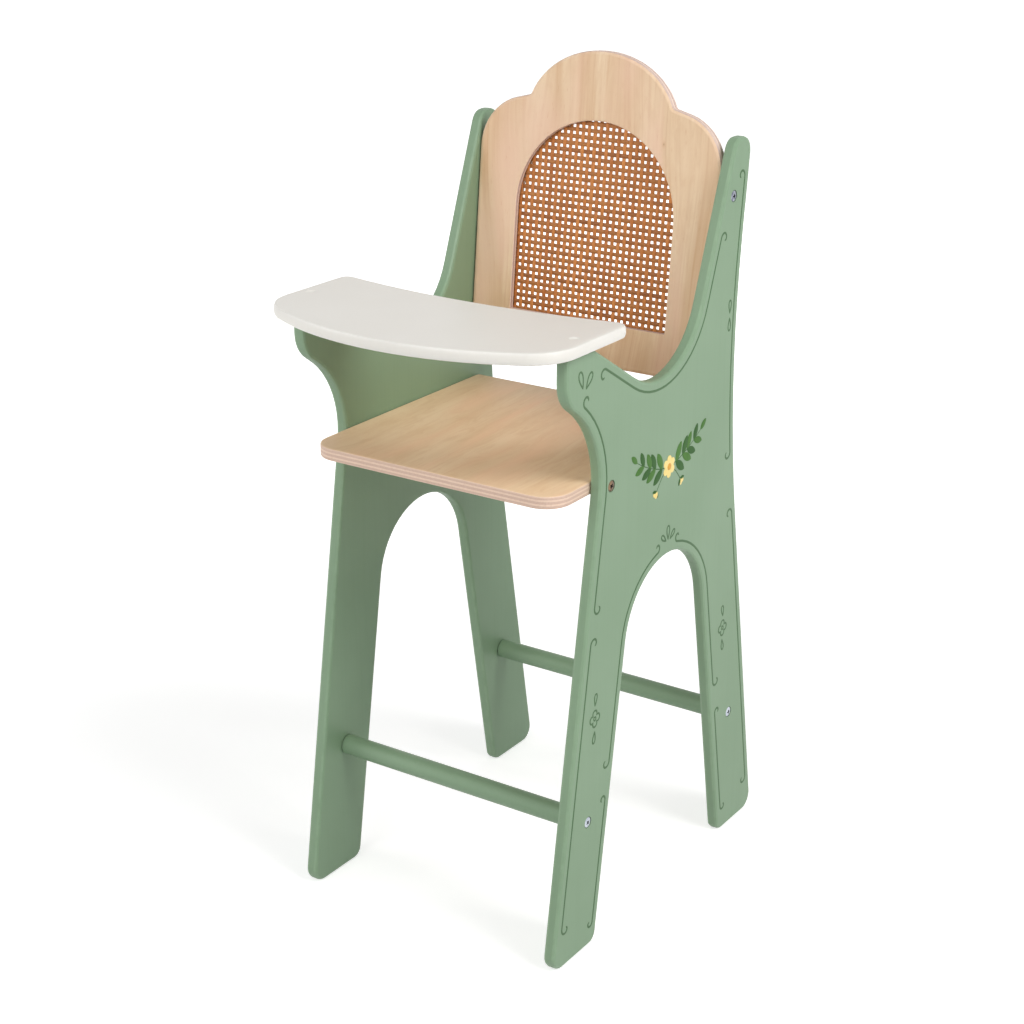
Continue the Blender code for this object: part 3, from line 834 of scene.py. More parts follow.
def weld(piece: Piece) -> None:
    """Merge the points that lie together and turn all faces outwards.

    Args:
        piece: the piece, a mesh.
    """
    with editing(piece):
        bpy.ops.mesh.remove_doubles(threshold=SAME_POINT)
        bpy.ops.mesh.normals_make_consistent(inside=False)


def extrude(rise: float) -> None:
    """Extrude the selected faces along z."""
    bpy.ops.mesh.extrude_region_move(TRANSFORM_OT_translate={"value": (0, 0, rise)})


def push_cap(piece: Piece, cap: int, profile: list[Point]) -> None:
    """Extrude the end of a round piece along a profile.

    Args:
        piece: the piece, round about z.
        cap: 1 for the end that looks up, -1 for the one that looks down.
        profile: the end's (radius, height) as it is, and after each step.
    """
    with editing(piece, cap):
        for (radius, height), (next_radius, next_height) in zip(profile, profile[1:]):
            extrude(next_height - height)
            grow = next_radius / radius
            bpy.ops.transform.resize(value=(grow, grow, 1), center_override=(0, 0, 0))


def disc(name: str, sides: int, radius: float, thickness: float) -> Piece:
    """Add a round disc about z, its top at the origin's height.

    Args:
        name: its name.
        sides: the number of its sides.
        radius: its radius.
        thickness: its thickness.

    Returns:
        The disc.
    """
    clear_selection()
    bpy.ops.mesh.primitive_cylinder_add(
        vertices=sides, radius=radius, depth=thickness, location=(0, 0, -thickness / 2),
    )
    return settle(newest(name))


def modify(piece: Piece, kind: str, **settings: Any) -> None:
    """Give a piece a modifier and apply it.

    Args:
        piece: the piece, a mesh.
        kind: the modifier's type.
        settings: the modifier's own settings.
    """
    take(piece)
    modifier = piece.modifiers.new(kind.lower(), kind)
    for name, value in settings.items():
        setattr(modifier, name, value)
    bpy.ops.object.modifier_apply(modifier=modifier.name)


def cut_away(piece: Piece, cutter: Piece) -> None:
    """Cut the shape of one piece out of another and remove the cutter."""
    modify(piece, "BOOLEAN", operation="DIFFERENCE", solver="EXACT", object=cutter)
    bpy.data.objects.remove(cutter)


def drawn(name: str, lines: list[Line], radius: float, section: Piece | None = None) -> Piece:
    """Draw lines with a section swept along them, and return them as one mesh.

    Args:
        name: the piece's name.
        lines: each line's points, its widths as shares of the full width, and whether it closes.
        radius: half the full width of a round section.
        section: a closed curve to sweep in place of the round section.

    Returns:
        The mesh, its end caps welded on.
    """
    clear_selection()
    bpy.ops.curve.primitive_bezier_curve_add(location=(0, 0, 0))
    piece = newest(name)
    curve = piece.data
    curve.splines.clear()
    curve.dimensions = "3D"
    curve.twist_mode = "Z_UP"
    curve.bevel_depth = radius
    curve.bevel_resolution = 1
    curve.use_fill_caps = True
    if section:
        curve.bevel_mode = "OBJECT"
        curve.bevel_object = section
    for points, widths, closed in lines:
        spline = curve.splines.new("POLY")
        spline.points.add(len(points) - 1)
        for point, place, width in zip(spline.points, points, widths):
            point.co = (*place, 1.0)
            point.radius = width
        spline.use_cyclic_u = closed
    take(piece)
    bpy.ops.object.convert(target="MESH")
    mesh = newest(name)
    weld(mesh)
    return mesh


def smooth(piece: Piece, angle: float) -> None:
    """Shade a piece smooth where its faces meet at less than an angle in degrees."""
    take(piece)
    bpy.ops.object.shade_smooth_by_angle(angle=math.radians(angle))


def dress(piece: Piece, *materials: Material) -> None:
    """Give a piece its materials.

    Args:
        piece: the piece.
        materials: the materials, in the order in which its faces number them.
    """
    numbers = [face.material_index for face in piece.data.polygons]
    piece.data.materials.clear()
    for material in materials:
        piece.data.materials.append(material)
    for face, number in zip(piece.data.polygons, numbers):
        face.material_index = min(number, len(materials) - 1)


def hand_over(piece: Piece, body: Body, slot: Slot, *nodes: str) -> None:
    """Hand a finished piece over to the frame and report it.

    Args:
        piece: the piece.
        body: the body that it rides.
        slot: the slot that its finish belongs to; not used.
        nodes: the nodes that it stands for.
    """
    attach(piece, body.value)
    if nodes:
        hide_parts(*nodes)
    triangles = sum(len(face.vertices) - 2 for face in piece.data.polygons)
    LOG.info("%s rides %s, %d triangles", piece.name, body.value, triangles)


def refinish(material: Material, *names: str) -> None:
    """Give a material to CAD nodes that stay.

    Args:
        material: the material.
        names: the nodes' names.
    """
    for name in names:
        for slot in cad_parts[name].material_slots:
            slot.material = material
        LOG.info("%s gets %s", name, material.name)


@dataclass(frozen=True)
class Lamp:
    """A square soft lamp that faces the chair, its bearing 0 in front and 90 at the right."""

    name: str
    bearing: float
    rise: float
    power: float
    in_gloss: bool = True
    size: float = 1.2
    distance: float = 2.4

    def hang(self, target: Vector) -> None:
        """Add the lamp.

        Args:
            target: the point that it faces.
        """
        turn, lift = math.radians(self.bearing), math.radians(self.rise)
        ahead = Vector((math.sin(turn), -math.cos(turn), 0)) * math.cos(lift)
        away = ahead + Vector((0, 0, math.sin(lift)))
        clear_selection()
        bpy.ops.object.light_add(type="AREA", location=target + self.distance * away)
        lamp = newest(self.name)
        lamp.visible_camera = False
        lamp.visible_glossy = self.in_gloss
        lamp.data.shape = "SQUARE"
        lamp.data.size = self.size
        lamp.data.energy = self.power
        lamp.rotation_euler = (-away).to_track_quat("-Z", "Y").to_euler()


@dataclass
class Studio:
    """Camera, lamps, floor and surroundings."""

    camera_place: Triple = (0.7341, -1.110447, 0.7851)
    azimuth: float = 33.746
    elevation: float = 20.692
    roll: float = 0.119
    lens: float = 69.23
    sensor: float = 36.0
    target: Triple = (0.0, 0.0, 0.33)
    lamps: tuple[Lamp, ...] = (
        Lamp("soft_key_right", 90, 42, 32.0),
        Lamp("soft_low_right", 85, 10, 9.6),
        Lamp("soft_front", 0, 30, 19.0),
        Lamp("soft_left", -55, 12, 12.5),
        Lamp("soft_back", 195, 8, 9.0, in_gloss=False),
    )
    surround: float = 0.23
    floor_size: float = 40.0
    floor_drop: float = 0.0002
    floor_colour: Colour = srgb(222, 222, 221)
    mottle_colour: Colour = srgb(216, 216, 215)
    mottle_scale: float = 3.0
    mottle_share: float = 0.2
    glow_near: float = 0.58
    glow_starts: float = 0.3
    glow_full: float = 1.3

    def build(self) -> None:
        """Set up the whole studio."""
        self.aim_camera()
        for lamp in self.lamps:
            lamp.hang(Vector(self.target))
        self.light_world()
        self.lay_floor()
        bpy.context.scene.view_settings.view_transform = "Standard"

    def aim_camera(self) -> None:
        """Add the camera at the photograph's viewpoint."""
        clear_selection()
        bpy.ops.object.camera_add(location=self.camera_place)
        camera = newest("viewpoint")
        turn = turned(self.azimuth) @ turned(90 - self.elevation, "X") @ turned(self.roll)
        camera.rotation_euler = turn.to_euler()
        camera.data.lens = self.lens
        camera.data.sensor_width = self.sensor
        bpy.context.scene.camera = camera

    def seen_directly(self, nodes: Nodes) -> Socket:
        """Tell the rays of the camera from those that only carry light.

        Args:
            nodes: the material's nodes.

        Returns:
            1 for what the camera sees straight, in a reflection or through glass, and else 0.
        """
        path = nodes.add("ShaderNodeLightPath").outputs
        seen = nodes.maths("MAXIMUM", path["Is Camera Ray"], path["Is Glossy Ray"])
        return nodes.maths("MAXIMUM", seen, path["Is Transmission Ray"])

    def light_world(self) -> None:
        """Make the surroundings a soft even light that looks white."""
        world = bpy.data.worlds.new("soft_surroundings")
        bpy.context.scene.world = world
        world.use_nodes = True
        nodes = Nodes(world.node_tree)
        lift = nodes.times(self.seen_directly(nodes), 1 - self.surround)
        background = world.node_tree.nodes["Background"]
        background.inputs["Color"].default_value = (1.0, 1.0, 1.0, 1.0)
        nodes.feed(background.inputs["Strength"], nodes.plus(lift, self.surround))

    def lay_floor(self) -> None:
        """Lay a large pale floor that keeps the chair's shadow and turns white further out."""
        clear_selection()
        bpy.ops.mesh.primitive_plane_add(size=self.floor_size, location=(0, 0, -self.floor_drop))
        floor = settle(newest("floor"))
        material = bpy.data.materials.new("pale_floor")
        material.use_nodes = True
        material.node_tree.nodes.clear()
        nodes = Nodes(material.node_tree)
        place = nodes.add("ShaderNodeTexCoord").outputs["Object"]
        away = nodes.vectors("LENGTH", place, (0.0, 0.0, 0.0))
        mottle = nodes.times(nodes.noise(place, self.mottle_scale), self.mottle_share)
        tone = nodes.mix(mottle, self.floor_colour, self.mottle_colour)
        matt = nodes.add("ShaderNodeBsdfDiffuse", {"Color": tone}).outputs[0]
        strength = nodes.spread(away, self.glow_starts, self.glow_full, self.glow_near)
        glow = nodes.add("ShaderNodeEmission", {"Strength": strength}).outputs[0]
        bright = nodes.add("ShaderNodeAddShader", {0: matt, 1: glow}).outputs[0]
        seen = self.seen_directly(nodes)
        both = nodes.add("ShaderNodeMixShader", {0: seen, 1: matt, 2: bright}).outputs[0]
        nodes.add("ShaderNodeOutputMaterial", {"Surface": both})
        dress(floor, material)


@dataclass
class FaceOutline:
    """The edge of a side board's flat outer face, as points (y, z) that go round anticlockwise."""

    points: np.ndarray

    @classmethod
    def of_node(cls, name: str, step: float = 0.0015) -> FaceOutline:
        """Read the edge from a side board's node.

        Args:
            name: the node's name.
            step: the distance between the points.

        Returns:
            The outline with evenly spaced points.
        """
        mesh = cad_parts[name].data
        places = [tuple(round(value, 6) for value in vertex.co) for vertex in mesh.vertices]
        plane = max(place[0] for place in places)
        sides = set()
        for face in mesh.polygons:
            corners = [places[index] for index in face.vertices]
            if all(corner[0] > plane - SAME_PLANE for corner in corners):
                sides.update(zip(corners, corners[1:] + corners[:1]))
        edge = {start: end for start, end in sorted(sides) if (end, start) not in sides}
        loops = []
        while edge:
            first, following = edge.popitem()
            loop = [first]
            while following != first:
                loop.append(following)
                following = edge.pop(following)
            loops.append(np.array(loop)[:, 1:])
        longest = max(loops, key=lambda loop: np.ptp(loop[:, 1]))
        line = np.vstack([longest, longest[:1]])
        along = np.append(0.0, np.cumsum(np.linalg.norm(np.diff(line, axis=0), axis=1)))
        wanted = np.linspace(0.0, along[-1], max(2, int(along[-1] / step)), endpoint=False)
        return cls(np.column_stack([np.interp(wanted, along, line[:, axis]) for axis in (0, 1)]))

    def inset(self, distance: float) -> np.ndarray:
        """Draw the line that runs inside the outline.

        Args:
            distance: how far inside it runs.

        Returns:
            The line's points.
        """
        ahead = np.roll(self.points, -2, axis=0) - np.roll(self.points, 2, axis=0)
        ahead /= np.linalg.norm(ahead, axis=1)[:, None]
        moved = self.points + distance * np.column_stack([-ahead[:, 1], ahead[:, 0]])
        gaps = np.linalg.norm(moved[:, None, :] - self.points[None, :, :], axis=2).min(axis=1)
        return moved[gaps > distance - LINE_SLACK]

    def run(self, start: Point, end: Point, distance: float) -> tuple[np.ndarray, int]:
        """Return a part of the inner line, the short way from one place to another.

        Args:
            start: a place near the part's start.
            end: a place near its end.
            distance: how far inside the outline it runs.

        Returns:
            The points, and 1 or -1 for the hand on which the board's inside lies.
        """
        line = self.inset(distance)
        count = len(line)
        first, last = (
            int(np.linalg.norm(line - np.array(place), axis=1).argmin()) for place in (start, end)
        )
        steps, hand = (last - first) % count, 1
        if steps > count / 2:
            steps, hand = count - steps, -1
        return line[[(first + hand * k) % count for k in range(steps + 1)]], hand


def polar(centre: Point, reach: float, turn: float) -> Point:
    """Return the point that lies at a reach and a turn in radians from a centre."""
    return (centre[0] + reach * math.cos(turn), centre[1] + reach * math.sin(turn))


@dataclass
class Ornament:
    """The painted ornament on the outer faces of both side boards.

    It is a design of its own: lines that follow the edges and end in curls, drops, four-petalled
    rosettes, and a laurel sprig with a daisy and two buds. Its places are (y, z) on the board.
    Each edge line has its start, its end and the shares of its curls there, each drop its tip,
    its way in degrees and its length, each rosette its centre and the lean of its leg. The
    sprig's leaves turn from the stem by the first of leaf_turns in degrees at its foot and by
    the second less at its end. The last leaf and a bud's petals and leaves have their turn in
    degrees and their size. A leaf rises in two steps, shares of its height, and its top is
    narrower by two shares, along it and across.
    """

    face: float
    outline: FaceOutline
    inset: float = 0.0046
    half_line: float = 0.00086
    relief_share: float = 0.17
    end_width: float = 0.45
    taper_steps: int = 7
    loop_width: float = 0.85
    drop_points: int = 16
    rosette_points: int = 40
    ring_points: int = 12
    curl_size: float = 0.0045
    curl_sweep: float = 4.6
    curl_closing: float = 0.72
    curl_steps_per_radian: int = 6
    edges: tuple[tuple[Point, Point, float, float], ...] = (
        ((0.119, 0.520), (0.107, 0.318), 1.0, 1.0),
        ((0.122, 0.270), (0.168, 0.031), 1.0, 1.0),
        ((0.083, 0.482), (-0.066, 0.428), 1.0, 1.0),
        ((-0.101, 0.397), (-0.083, 0.262), 1.0, 1.0),
        ((-0.090, 0.236), (-0.118, 0.031), 1.0, 1.0),
        ((-0.0465, 0.135), (0.0080, 0.268), 1.0, 0.8),
        ((0.0915, 0.135), (0.0330, 0.268), 1.0, 0.8),
        ((-0.069, 0.016), (-0.052, 0.108), 0.8, 0.8),
        ((0.112, 0.019), (0.096, 0.108), 0.8, 0.8),
    )
    rosettes: tuple[tuple[Point, float], ...] = (((-0.0745, 0.178), 8.9), ((0.1095, 0.178), -10.3))
    rosette_radius: float = 0.0062
    ring_share: float = 0.22
    ring_width: float = 0.8
    rosette_drop_away: float = 0.010
    rosette_drop_length: float = 0.0085
    drop_belly: float = 0.27
    drops: tuple[tuple[Point, float, float], ...] = (
        ((0.0205, 0.2790), 90, 0.0100),
        ((0.0175, 0.2785), 140, 0.0080),
        ((0.0235, 0.2785), 40, 0.0080),
        ((-0.0965, 0.4190), 108, 0.0120),
        ((-0.0925, 0.4180), 52, 0.0115),
        ((0.1000, 0.4250), 90, 0.0090),
        ((0.1000, 0.4210), 270, 0.0090),
    )
    leaf_length: float = 0.0160
    leaf_width: float = 0.0070
    leaf_pinch: float = 0.5
    leaf_height: float = 0.00022
    leaf_points: int = 20
    leaf_rises: Pair = (1.6, 0.3)
    leaf_top: Pair = (0.94, 0.84)
    petal_length: float = 0.0082
    petal_width: float = 0.0062
    petal_pinch: float = -0.15
    heart_radius: float = 0.0026
    heart_lift: float = 0.0002
    heart_flatness: float = 0.22
    stem_radius: float = 0.00045
    stem_flatness: float = 0.3
    stem_taper: float = 0.5
    sprig_centre: Point = (0.0185, 0.3335)
    sprig_reach: float = 0.044
    sprig_rise: float = 0.015
    sprig_bend: float = 1.7
    sprig_steps: int = 14
    leaf_places: tuple[float, ...] = (0.24, 0.42, 0.60, 0.78)
    leaf_shrink: float = 0.32
    leaf_turns: Pair = (52, 14)
    last_leaf: Pair = (50, 0.62)
    petal_count: int = 6
    bud_reach: float = 0.0165
    bud_drop: float = 0.0135
    bud_bend: float = 1.6
    bud_steps: int = 5
    bud_width: float = 0.8
    bud_lean: float = 38
    bud_petals: Pair = (22, 0.62)
    bud_leaves: Pair = (58, 0.34)
    layer: float = 0.000016
    layers: int = 7
    laid_count: int = 0
    lines: list[Line] = field(default_factory=list)

    def build(self) -> None:
        """Paint both boards."""
        self.draw_lines()
        strokes = drawn("ornament_lines_right", self.lines, self.half_line)
        settle(strokes, self.on_board(self.relief_share))
        for piece, finish in [(strokes, LINE)] + self.sprig():
            smooth(piece, angle=50)
            dress(piece, finish.material())
            other = copy_of(piece, piece.name.replace("right", "left"))
            settle(other, Matrix.Scale(-1, 4, Vector((1, 0, 0))))
            turn_outwards(other)
            hand_over(piece, Body.CHAIR, Slot.GREEN_PAINT)
            hand_over(other, Body.CHAIR, Slot.GREEN_PAINT)

    def on_board(self, height: float = 1.0) -> Matrix:
        """Return the move of a drawing, its height cut to a share, to the board's outer face."""
        return Matrix(((0, 0, height, self.face), (1, 0, 0, 0), (0, 1, 0, 0), (0, 0, 0, 1)))

    def add_line(self, points: list[Point], closed: bool = False, width: float = 1.0) -> None:
        """Keep a painted line, thinner at its open ends.

        Args:
            points: the line's points.
            closed: whether it closes.
            width: its width as a share of the full one.
        """
        last = len(points) - 1
        widths = [width] * (last + 1)
        if not closed:
            for k in range(last + 1):
                full = min(k, last - k) / self.taper_steps
                widths[k] *= min(1.0, self.end_width + (1 - self.end_width) * full)
        self.lines.append(([(y, z, 0.0) for y, z in points], widths, closed))

    def curl(self, points: np.ndarray, hand: int, share: float) -> list[Point]:
        """Return the spiral that carries a line on past its last point.

        Args:
            points: the line so far.
            hand: 1 to curl to the left, -1 to the right.
            share: its size as a share of the full one.

        Returns:
            The spiral's points.
        """
        ahead = points[-1] - points[-3]
        heading = math.atan2(ahead[1], ahead[0])
        place = tuple(points[-1])
        count = int(self.curl_sweep * self.curl_steps_per_radian)
        arc = self.curl_sweep / count
        result = []
        for k in range(count):
            heading += hand * arc
            radius = self.curl_size * share * (1 - self.curl_closing * k / count)
            place = polar(place, arc * radius, heading)
            result.append(place)
        return result

    def drop(self, tip: Point, angle: float, length: float) -> None:
        """Draw the outline of a drop.

        Args:
            tip: the pointed end.
            angle: the way from the tip to the round end, in degrees from the y axis.
            length: its length.
        """
        turn = math.radians(angle)
        points = []
        for k in range(self.drop_points):
            t = 2 * math.pi * k / self.drop_points
            along = polar(tip, length * (0.5 - 0.5 * math.cos(t)), turn)
            across = self.drop_belly * length * math.sin(t) * math.sin(t / 2) ** 1.2
            points.append(polar(along, across, turn + QUARTER_TURN))
        self.add_line(points, closed=True, width=self.loop_width)

    def rosette(self, centre: Point, lean: float) -> None:
        """Draw a rosette with four round petals, a ring in the middle, and a drop at either end.

        Args:
            centre: its centre.
            lean: the lean of the leg that it stands on, in degrees.
        """
        radius = self.rosette_radius
        petals = []
        for k in range(self.rosette_points):
            t = 2 * math.pi * k / self.rosette_points
            petals.append(polar(centre, radius * (0.5 + 0.5 * abs(math.cos(2 * t)) ** 0.6), t))
        self.add_line(petals, closed=True, width=self.loop_width)
        ring, count = self.ring_share * radius, self.ring_points
        points = [polar(centre, ring, 2 * math.pi * k / count) for k in range(count)]
        self.add_line(points, closed=True, width=self.ring_width)
        for way, angle in ((1, 90), (-1, 270)):
            tip = (centre[0], centre[1] + way * self.rosette_drop_away)
            self.drop(tip, angle - lean, self.rosette_drop_length)

    def draw_lines(self) -> None:
        """Draw all lines of one board."""
        for start, end, first_curl, last_curl in self.edges:
            line, hand = self.outline.run(start, end, self.inset)
            before = self.curl(line[::-1], -hand, first_curl)[::-1]
            after = self.curl(line, hand, last_curl)
            self.add_line(before + [tuple(point) for point in line] + after)
        for centre, lean in self.rosettes:
            self.rosette(centre, lean)
        for tip, angle, length in self.drops:
            self.drop(tip, angle, length)

    def leaf(self, length: float, width: float, pinch: float) -> Piece:
        """Model one leaf or petal from its foot at the origin along x.

        Args:
            length: its length.
            width: its width.
            pinch: how pointed its ends are.

        Returns:
            The leaf, lying in the drawing's plane.
        """
        clear_selection()
        bpy.ops.mesh.primitive_circle_add(
            vertices=self.leaf_points, fill_type="NGON", location=(0, 0, 0),
        )
        piece = newest("leaf_pattern")
        for vertex in piece.data.vertices:
            turn = math.atan2(vertex.co.y, vertex.co.x)
            slim = max(0.001, abs(math.sin(turn))) ** pinch
            vertex.co.x = length * (0.5 + 0.5 * math.cos(turn))
            vertex.co.y = 0.5 * width * math.sin(turn) * slim
        with editing(piece):
            bpy.ops.transform.translate(value=(0, 0, -self.leaf_height))
            for rise in self.leaf_rises:
                extrude(rise * self.leaf_height)
            bpy.ops.transform.resize(
                value=(*self.leaf_top, 1), center_override=(length / 2, 0, 0),
            )
        turn_outwards(piece)
        return piece

    def laid(self, pattern: Piece, place: Point, angle: float, size: float) -> Piece:
        """Copy a leaf or petal to its place, each a little higher than the last few.

        Args:
            pattern: the piece to copy.
            place: the point where its foot goes.
            angle: the way it points, in degrees from the y axis.
            size: its size as a share of the pattern's.

        Returns:
            The copy.
        """
        self.laid_count += 1
        lift = self.layer * (self.laid_count % self.layers)
        move = Matrix.Translation((place[0], place[1], lift)) @ turned(angle)
        move = self.on_board() @ move @ Matrix.Diagonal((size, size, 1, 1))
        return settle(copy_of(pattern, pattern.name + "_copy"), move)

    def stem(self, way: int, reach: float, rise: float, bend: float, steps: int) -> list[Triple]:
        """Return the points of a curved stem that starts at the daisy.

        Args:
            way: 1 for the side of the larger y, -1 for the other.
            reach: how far it goes.
            rise: how far it rises.
            bend: how late it rises.
            steps: the number of its steps.

        Returns:
            The points, in the drawing's plane.
        """
        y, z = self.sprig_centre
        shares = [k / steps for k in range(steps + 1)]
        return [(y + way * reach * share, z + rise * share ** bend, 0.0) for share in shares]

    def sprig(self) -> list[tuple[Piece, PaintFinish]]:
        """Model the laurel sprig of the right board.

        Returns:
            Its pieces with their finishes.
        """
        leaf = self.leaf(self.leaf_length, self.leaf_width, self.leaf_pinch)
        petal = self.leaf(self.petal_length, self.petal_width, self.petal_pinch)
        steps, bend = self.sprig_steps, self.sprig_bend
        light, deep, stems = [], [], []
        for way in (-1, 1):
            stem = self.stem(way, self.sprig_reach, self.sprig_rise, bend, steps)
            widths = [1.0 - self.stem_taper * k / steps for k in range(steps + 1)]
            stems.append((stem, widths, False))
            for k, share in enumerate(self.leaf_places):
                slope = self.sprig_rise * bend * share ** (bend - 1)
                lean = math.degrees(math.atan2(slope, self.sprig_reach))
                for hand in (1, -1):
                    angle = lean + hand * (self.leaf_turns[0] - self.leaf_turns[1] * share)
                    angle = angle if way > 0 else 180 - angle
                    size = 1.0 - self.leaf_shrink * share
                    row = light if (k + (hand > 0)) % 2 else deep
                    row.append(self.laid(leaf, stem[round(share * steps)], angle, size))
            turn, size = self.last_leaf
            light.append(self.laid(leaf, stem[-1], 90 - turn * way, size))
        petals = [
            self.laid(petal, self.sprig_centre, 90 + 360 / self.petal_count * k, 1.0)
            for k in range(self.petal_count)
        ]
        for way in (-1, 1):
            stem = self.stem(way, self.bud_reach, -self.bud_drop, self.bud_bend, self.bud_steps)
            stems.append((stem, [self.bud_width] * len(stem), False))
            down = -90 + way * self.bud_lean
            for row, pattern, (turn, size) in (
                (petals, petal, self.bud_petals), (deep, leaf, self.bud_leaves),
            ):
                row += [self.laid(pattern, stem[-1], down + hand * turn, size) for hand in (-1, 1)]
        heart = self.heart_disc()
        bpy.data.objects.remove(leaf)
        bpy.data.objects.remove(petal)
        twig = drawn("sprig_stems_right", stems, self.stem_radius)
        settle(twig, self.on_board(self.stem_flatness))
        return [
            (join(light, "sprig_leaves_right"), LEAF),
            (join(deep + [twig], "sprig_deep_leaves_right"), DEEP_LEAF),
            (join(petals, "sprig_petals_right"), PETAL),
            (heart, HEART),
        ]

    def heart_disc(self) -> Piece:
        """Model the daisy's domed middle.

        Returns:
            The middle, on the right board.
        """
        clear_selection()
        bpy.ops.mesh.primitive_uv_sphere_add(segments=20, ring_count=10, radius=self.heart_radius)
        place = Matrix.Translation((*self.sprig_centre, self.heart_lift))
        flat = Matrix.Scale(self.heart_flatness, 4, Vector((0, 0, 1)))
        return settle(newest("sprig_heart_right"), self.on_board() @ place @ flat)


@dataclass
class SideFrames:
    """Both side boards and the two stretchers, all in green paint."""

    boards: tuple[str, ...] = ("left_side_panel", "right_side_panel")
    stretchers: tuple[str, ...] = ("front_stretcher", "rear_stretcher")

    def build(self) -> None:
        """Paint the boards and stretchers and put the ornament on."""
        refinish(GREEN.material(), *self.boards)
        refinish(GREEN_DOWEL.material(), *self.stretchers)
        _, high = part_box("right_side_panel")
        Ornament(high.x, FaceOutline.of_node("right_side_panel")).build()


@dataclass
class Seat:
    """The plywood seat board, its grain from front to back, with the hidden dowels."""

    ply: float = 0.0015
    grain_origin: Point = (0.13, 0.04)
    dowels: tuple[str, ...] = ("seat_dowel", "backrest_dowel")

    def build(self) -> None:
        """Finish the seat board and the dowels."""
        _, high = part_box("seat_board")
        finish = BoardFinish(
            "seat_plywood_clear",
            light=srgb(246, 218, 182), dark=srgb(226, 188, 146), blush=srgb(248, 206, 170),
            ply_light=srgb(236, 209, 189), ply_dark=srgb(218, 187, 168), glue=srgb(188, 152, 134),
            tilt=0.0, origin=(*self.grain_origin, high.z), ply=self.ply, contrast=0.6, figure=0.45,
        )
        refinish(finish.material(), "seat_board")
        beech = RoundWoodFinish("beech_across", (0.0, 0.0, -QUARTER_TURN)).material()
        for name in self.dowels:
            refinish(beech, *(f"{name}_{side.word}" for side in Side))


